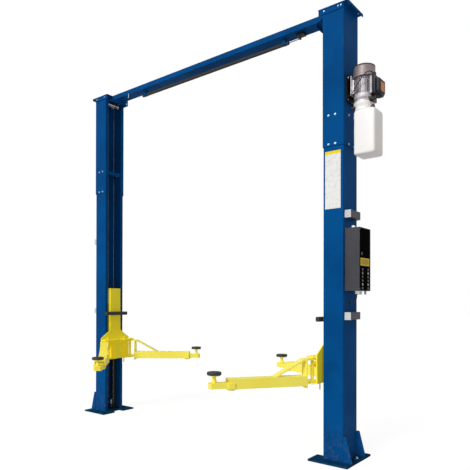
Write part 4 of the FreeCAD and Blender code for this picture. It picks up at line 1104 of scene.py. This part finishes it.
def build_lock_covers():
    """Light front faces on the latch covers. The covers' dark colour is painted shade on their sides.
    """
    bm = bmesh.new()
    for s in (1, -1):
        left, right = sorted((s * 1.6008, s * 1.6555))
        for z in (1.153, 1.973):
            block(bm, (left, -0.1056, z - 0.0006), (right, -0.1049, z + 0.0606))
    piece("cover_fronts", bm, "cover")


# Stage

LIGHT_ON_PART = 0.34  # strength of the white world, but 1 where it is seen
FLOOR_GLOW = 1.24
FLOOR_GLOW_SHARE = 0.72


def build_camera():
    """Camera solved from the photograph: its place, its aim and its shift."""
    place = Vector((3.4378, -3.8585, 1.3071))
    yaw, pitch, roll = radians(38.136), radians(0.242), radians(0.085)
    ahead = Vector((-sin(yaw) * cos(pitch), cos(yaw) * cos(pitch), sin(pitch)))
    data = bpy.data.cameras.new("camera")
    data.sensor_width = 36.0
    data.lens = 39.04
    data.shift_x = -0.0015
    data.shift_y = 0.1346
    data.clip_end = 200.0
    camera = linked("camera", data)
    camera.location = place
    camera.rotation_mode = "QUATERNION"
    aim = ahead.to_track_quat("-Z", "Y").to_matrix().to_4x4() @ Matrix.Rotation(roll, 4, "Z")
    camera.rotation_quaternion = aim.to_quaternion()
    bpy.context.scene.camera = camera


def add_sun(name, way, strength, spread):
    """Sun that shines a way. Its spread, in degrees, softens the shadows."""
    data = bpy.data.lights.new(name, "SUN")
    data.energy = strength
    data.angle = radians(spread)
    lamp = linked(name, data)
    lamp.rotation_mode = "QUATERNION"
    lamp.rotation_quaternion = Vector(way).to_track_quat("-Z", "Y")


def seen_directly(f):
    """1 for rays from the camera and for those that a gloss or a glass sends on."""
    camera, glossy, through = [f.add("ShaderNodeLightPath", f"Is {kind} Ray")
                               for kind in ("Camera", "Glossy", "Transmission")]
    return (camera + glossy + through).steps(0.0, 0.5)


def build_stage():
    """White world, two suns and a pale floor that glows where it is seen."""
    scene = bpy.context.scene
    scene.view_settings.view_transform = "Standard"
    world = bpy.data.worlds.new("studio")
    world.use_nodes = True
    scene.world = world
    tree = world.node_tree
    back = tree.nodes["Background"]
    rays = add_node(tree, "ShaderNodeLightPath").outputs
    seen = add_node(tree, "ShaderNodeMath", {0: rays["Is Camera Ray"], 1: rays["Is Glossy Ray"]},
                    operation="MAXIMUM")
    values = {"Value": seen.outputs[0], "To Min": LIGHT_ON_PART, "To Max": 1.0}
    feed(tree, back.inputs["Strength"], add_node(tree, "ShaderNodeMapRange", values).outputs[0])
    feed(tree, back.inputs["Color"], (1, 1, 1))
    add_sun("key", (0.02, 0.86, -0.5), 2.35, 25)
    add_sun("fill", (0.7, 0.1, -0.7), 0.35, 50)
    mesh = bpy.data.meshes.new("floor")
    r = 40.0  # half the width of the floor
    mesh.from_pydata([(-r, -r, 0), (r, -r, 0), (r, r, 0), (-r, r, 0)], [], [(0, 1, 2, 3)])
    floor = linked("floor", mesh)
    floor.location.z = -0.0008
    f = Finish("pale_floor")
    f.set(base_color=(0.52, 0.52, 0.52), roughness=0.9)
    glow = f.add("ShaderNodeEmission", 0, {"Color": (1, 1, 1), "Strength": FLOOR_GLOW})
    share = seen_directly(f) * FLOOR_GLOW_SHARE
    blend = f.add("ShaderNodeMixShader", 0, {0: share, 1: f.shader.outputs[0], 2: glow})
    feed(f.tree, f.output.inputs[0], blend)
    mesh.materials.append(f.material)


build_camera()
build_stage()
dress_nodes()
build_fasteners(fastener_net())
build_welds(bead_net())
build_plates()
build_cabinet()
build_fan()
build_fittings()
build_switch()
build_lock_covers()
build_chains(leaf_net())
build_cord("motor_cable", MOTOR_ROUTE, 0.0035)
build_cord("control_cable", CONTROL_ROUTE, 0.003)
build_pads()
build_tank()
build_pump()
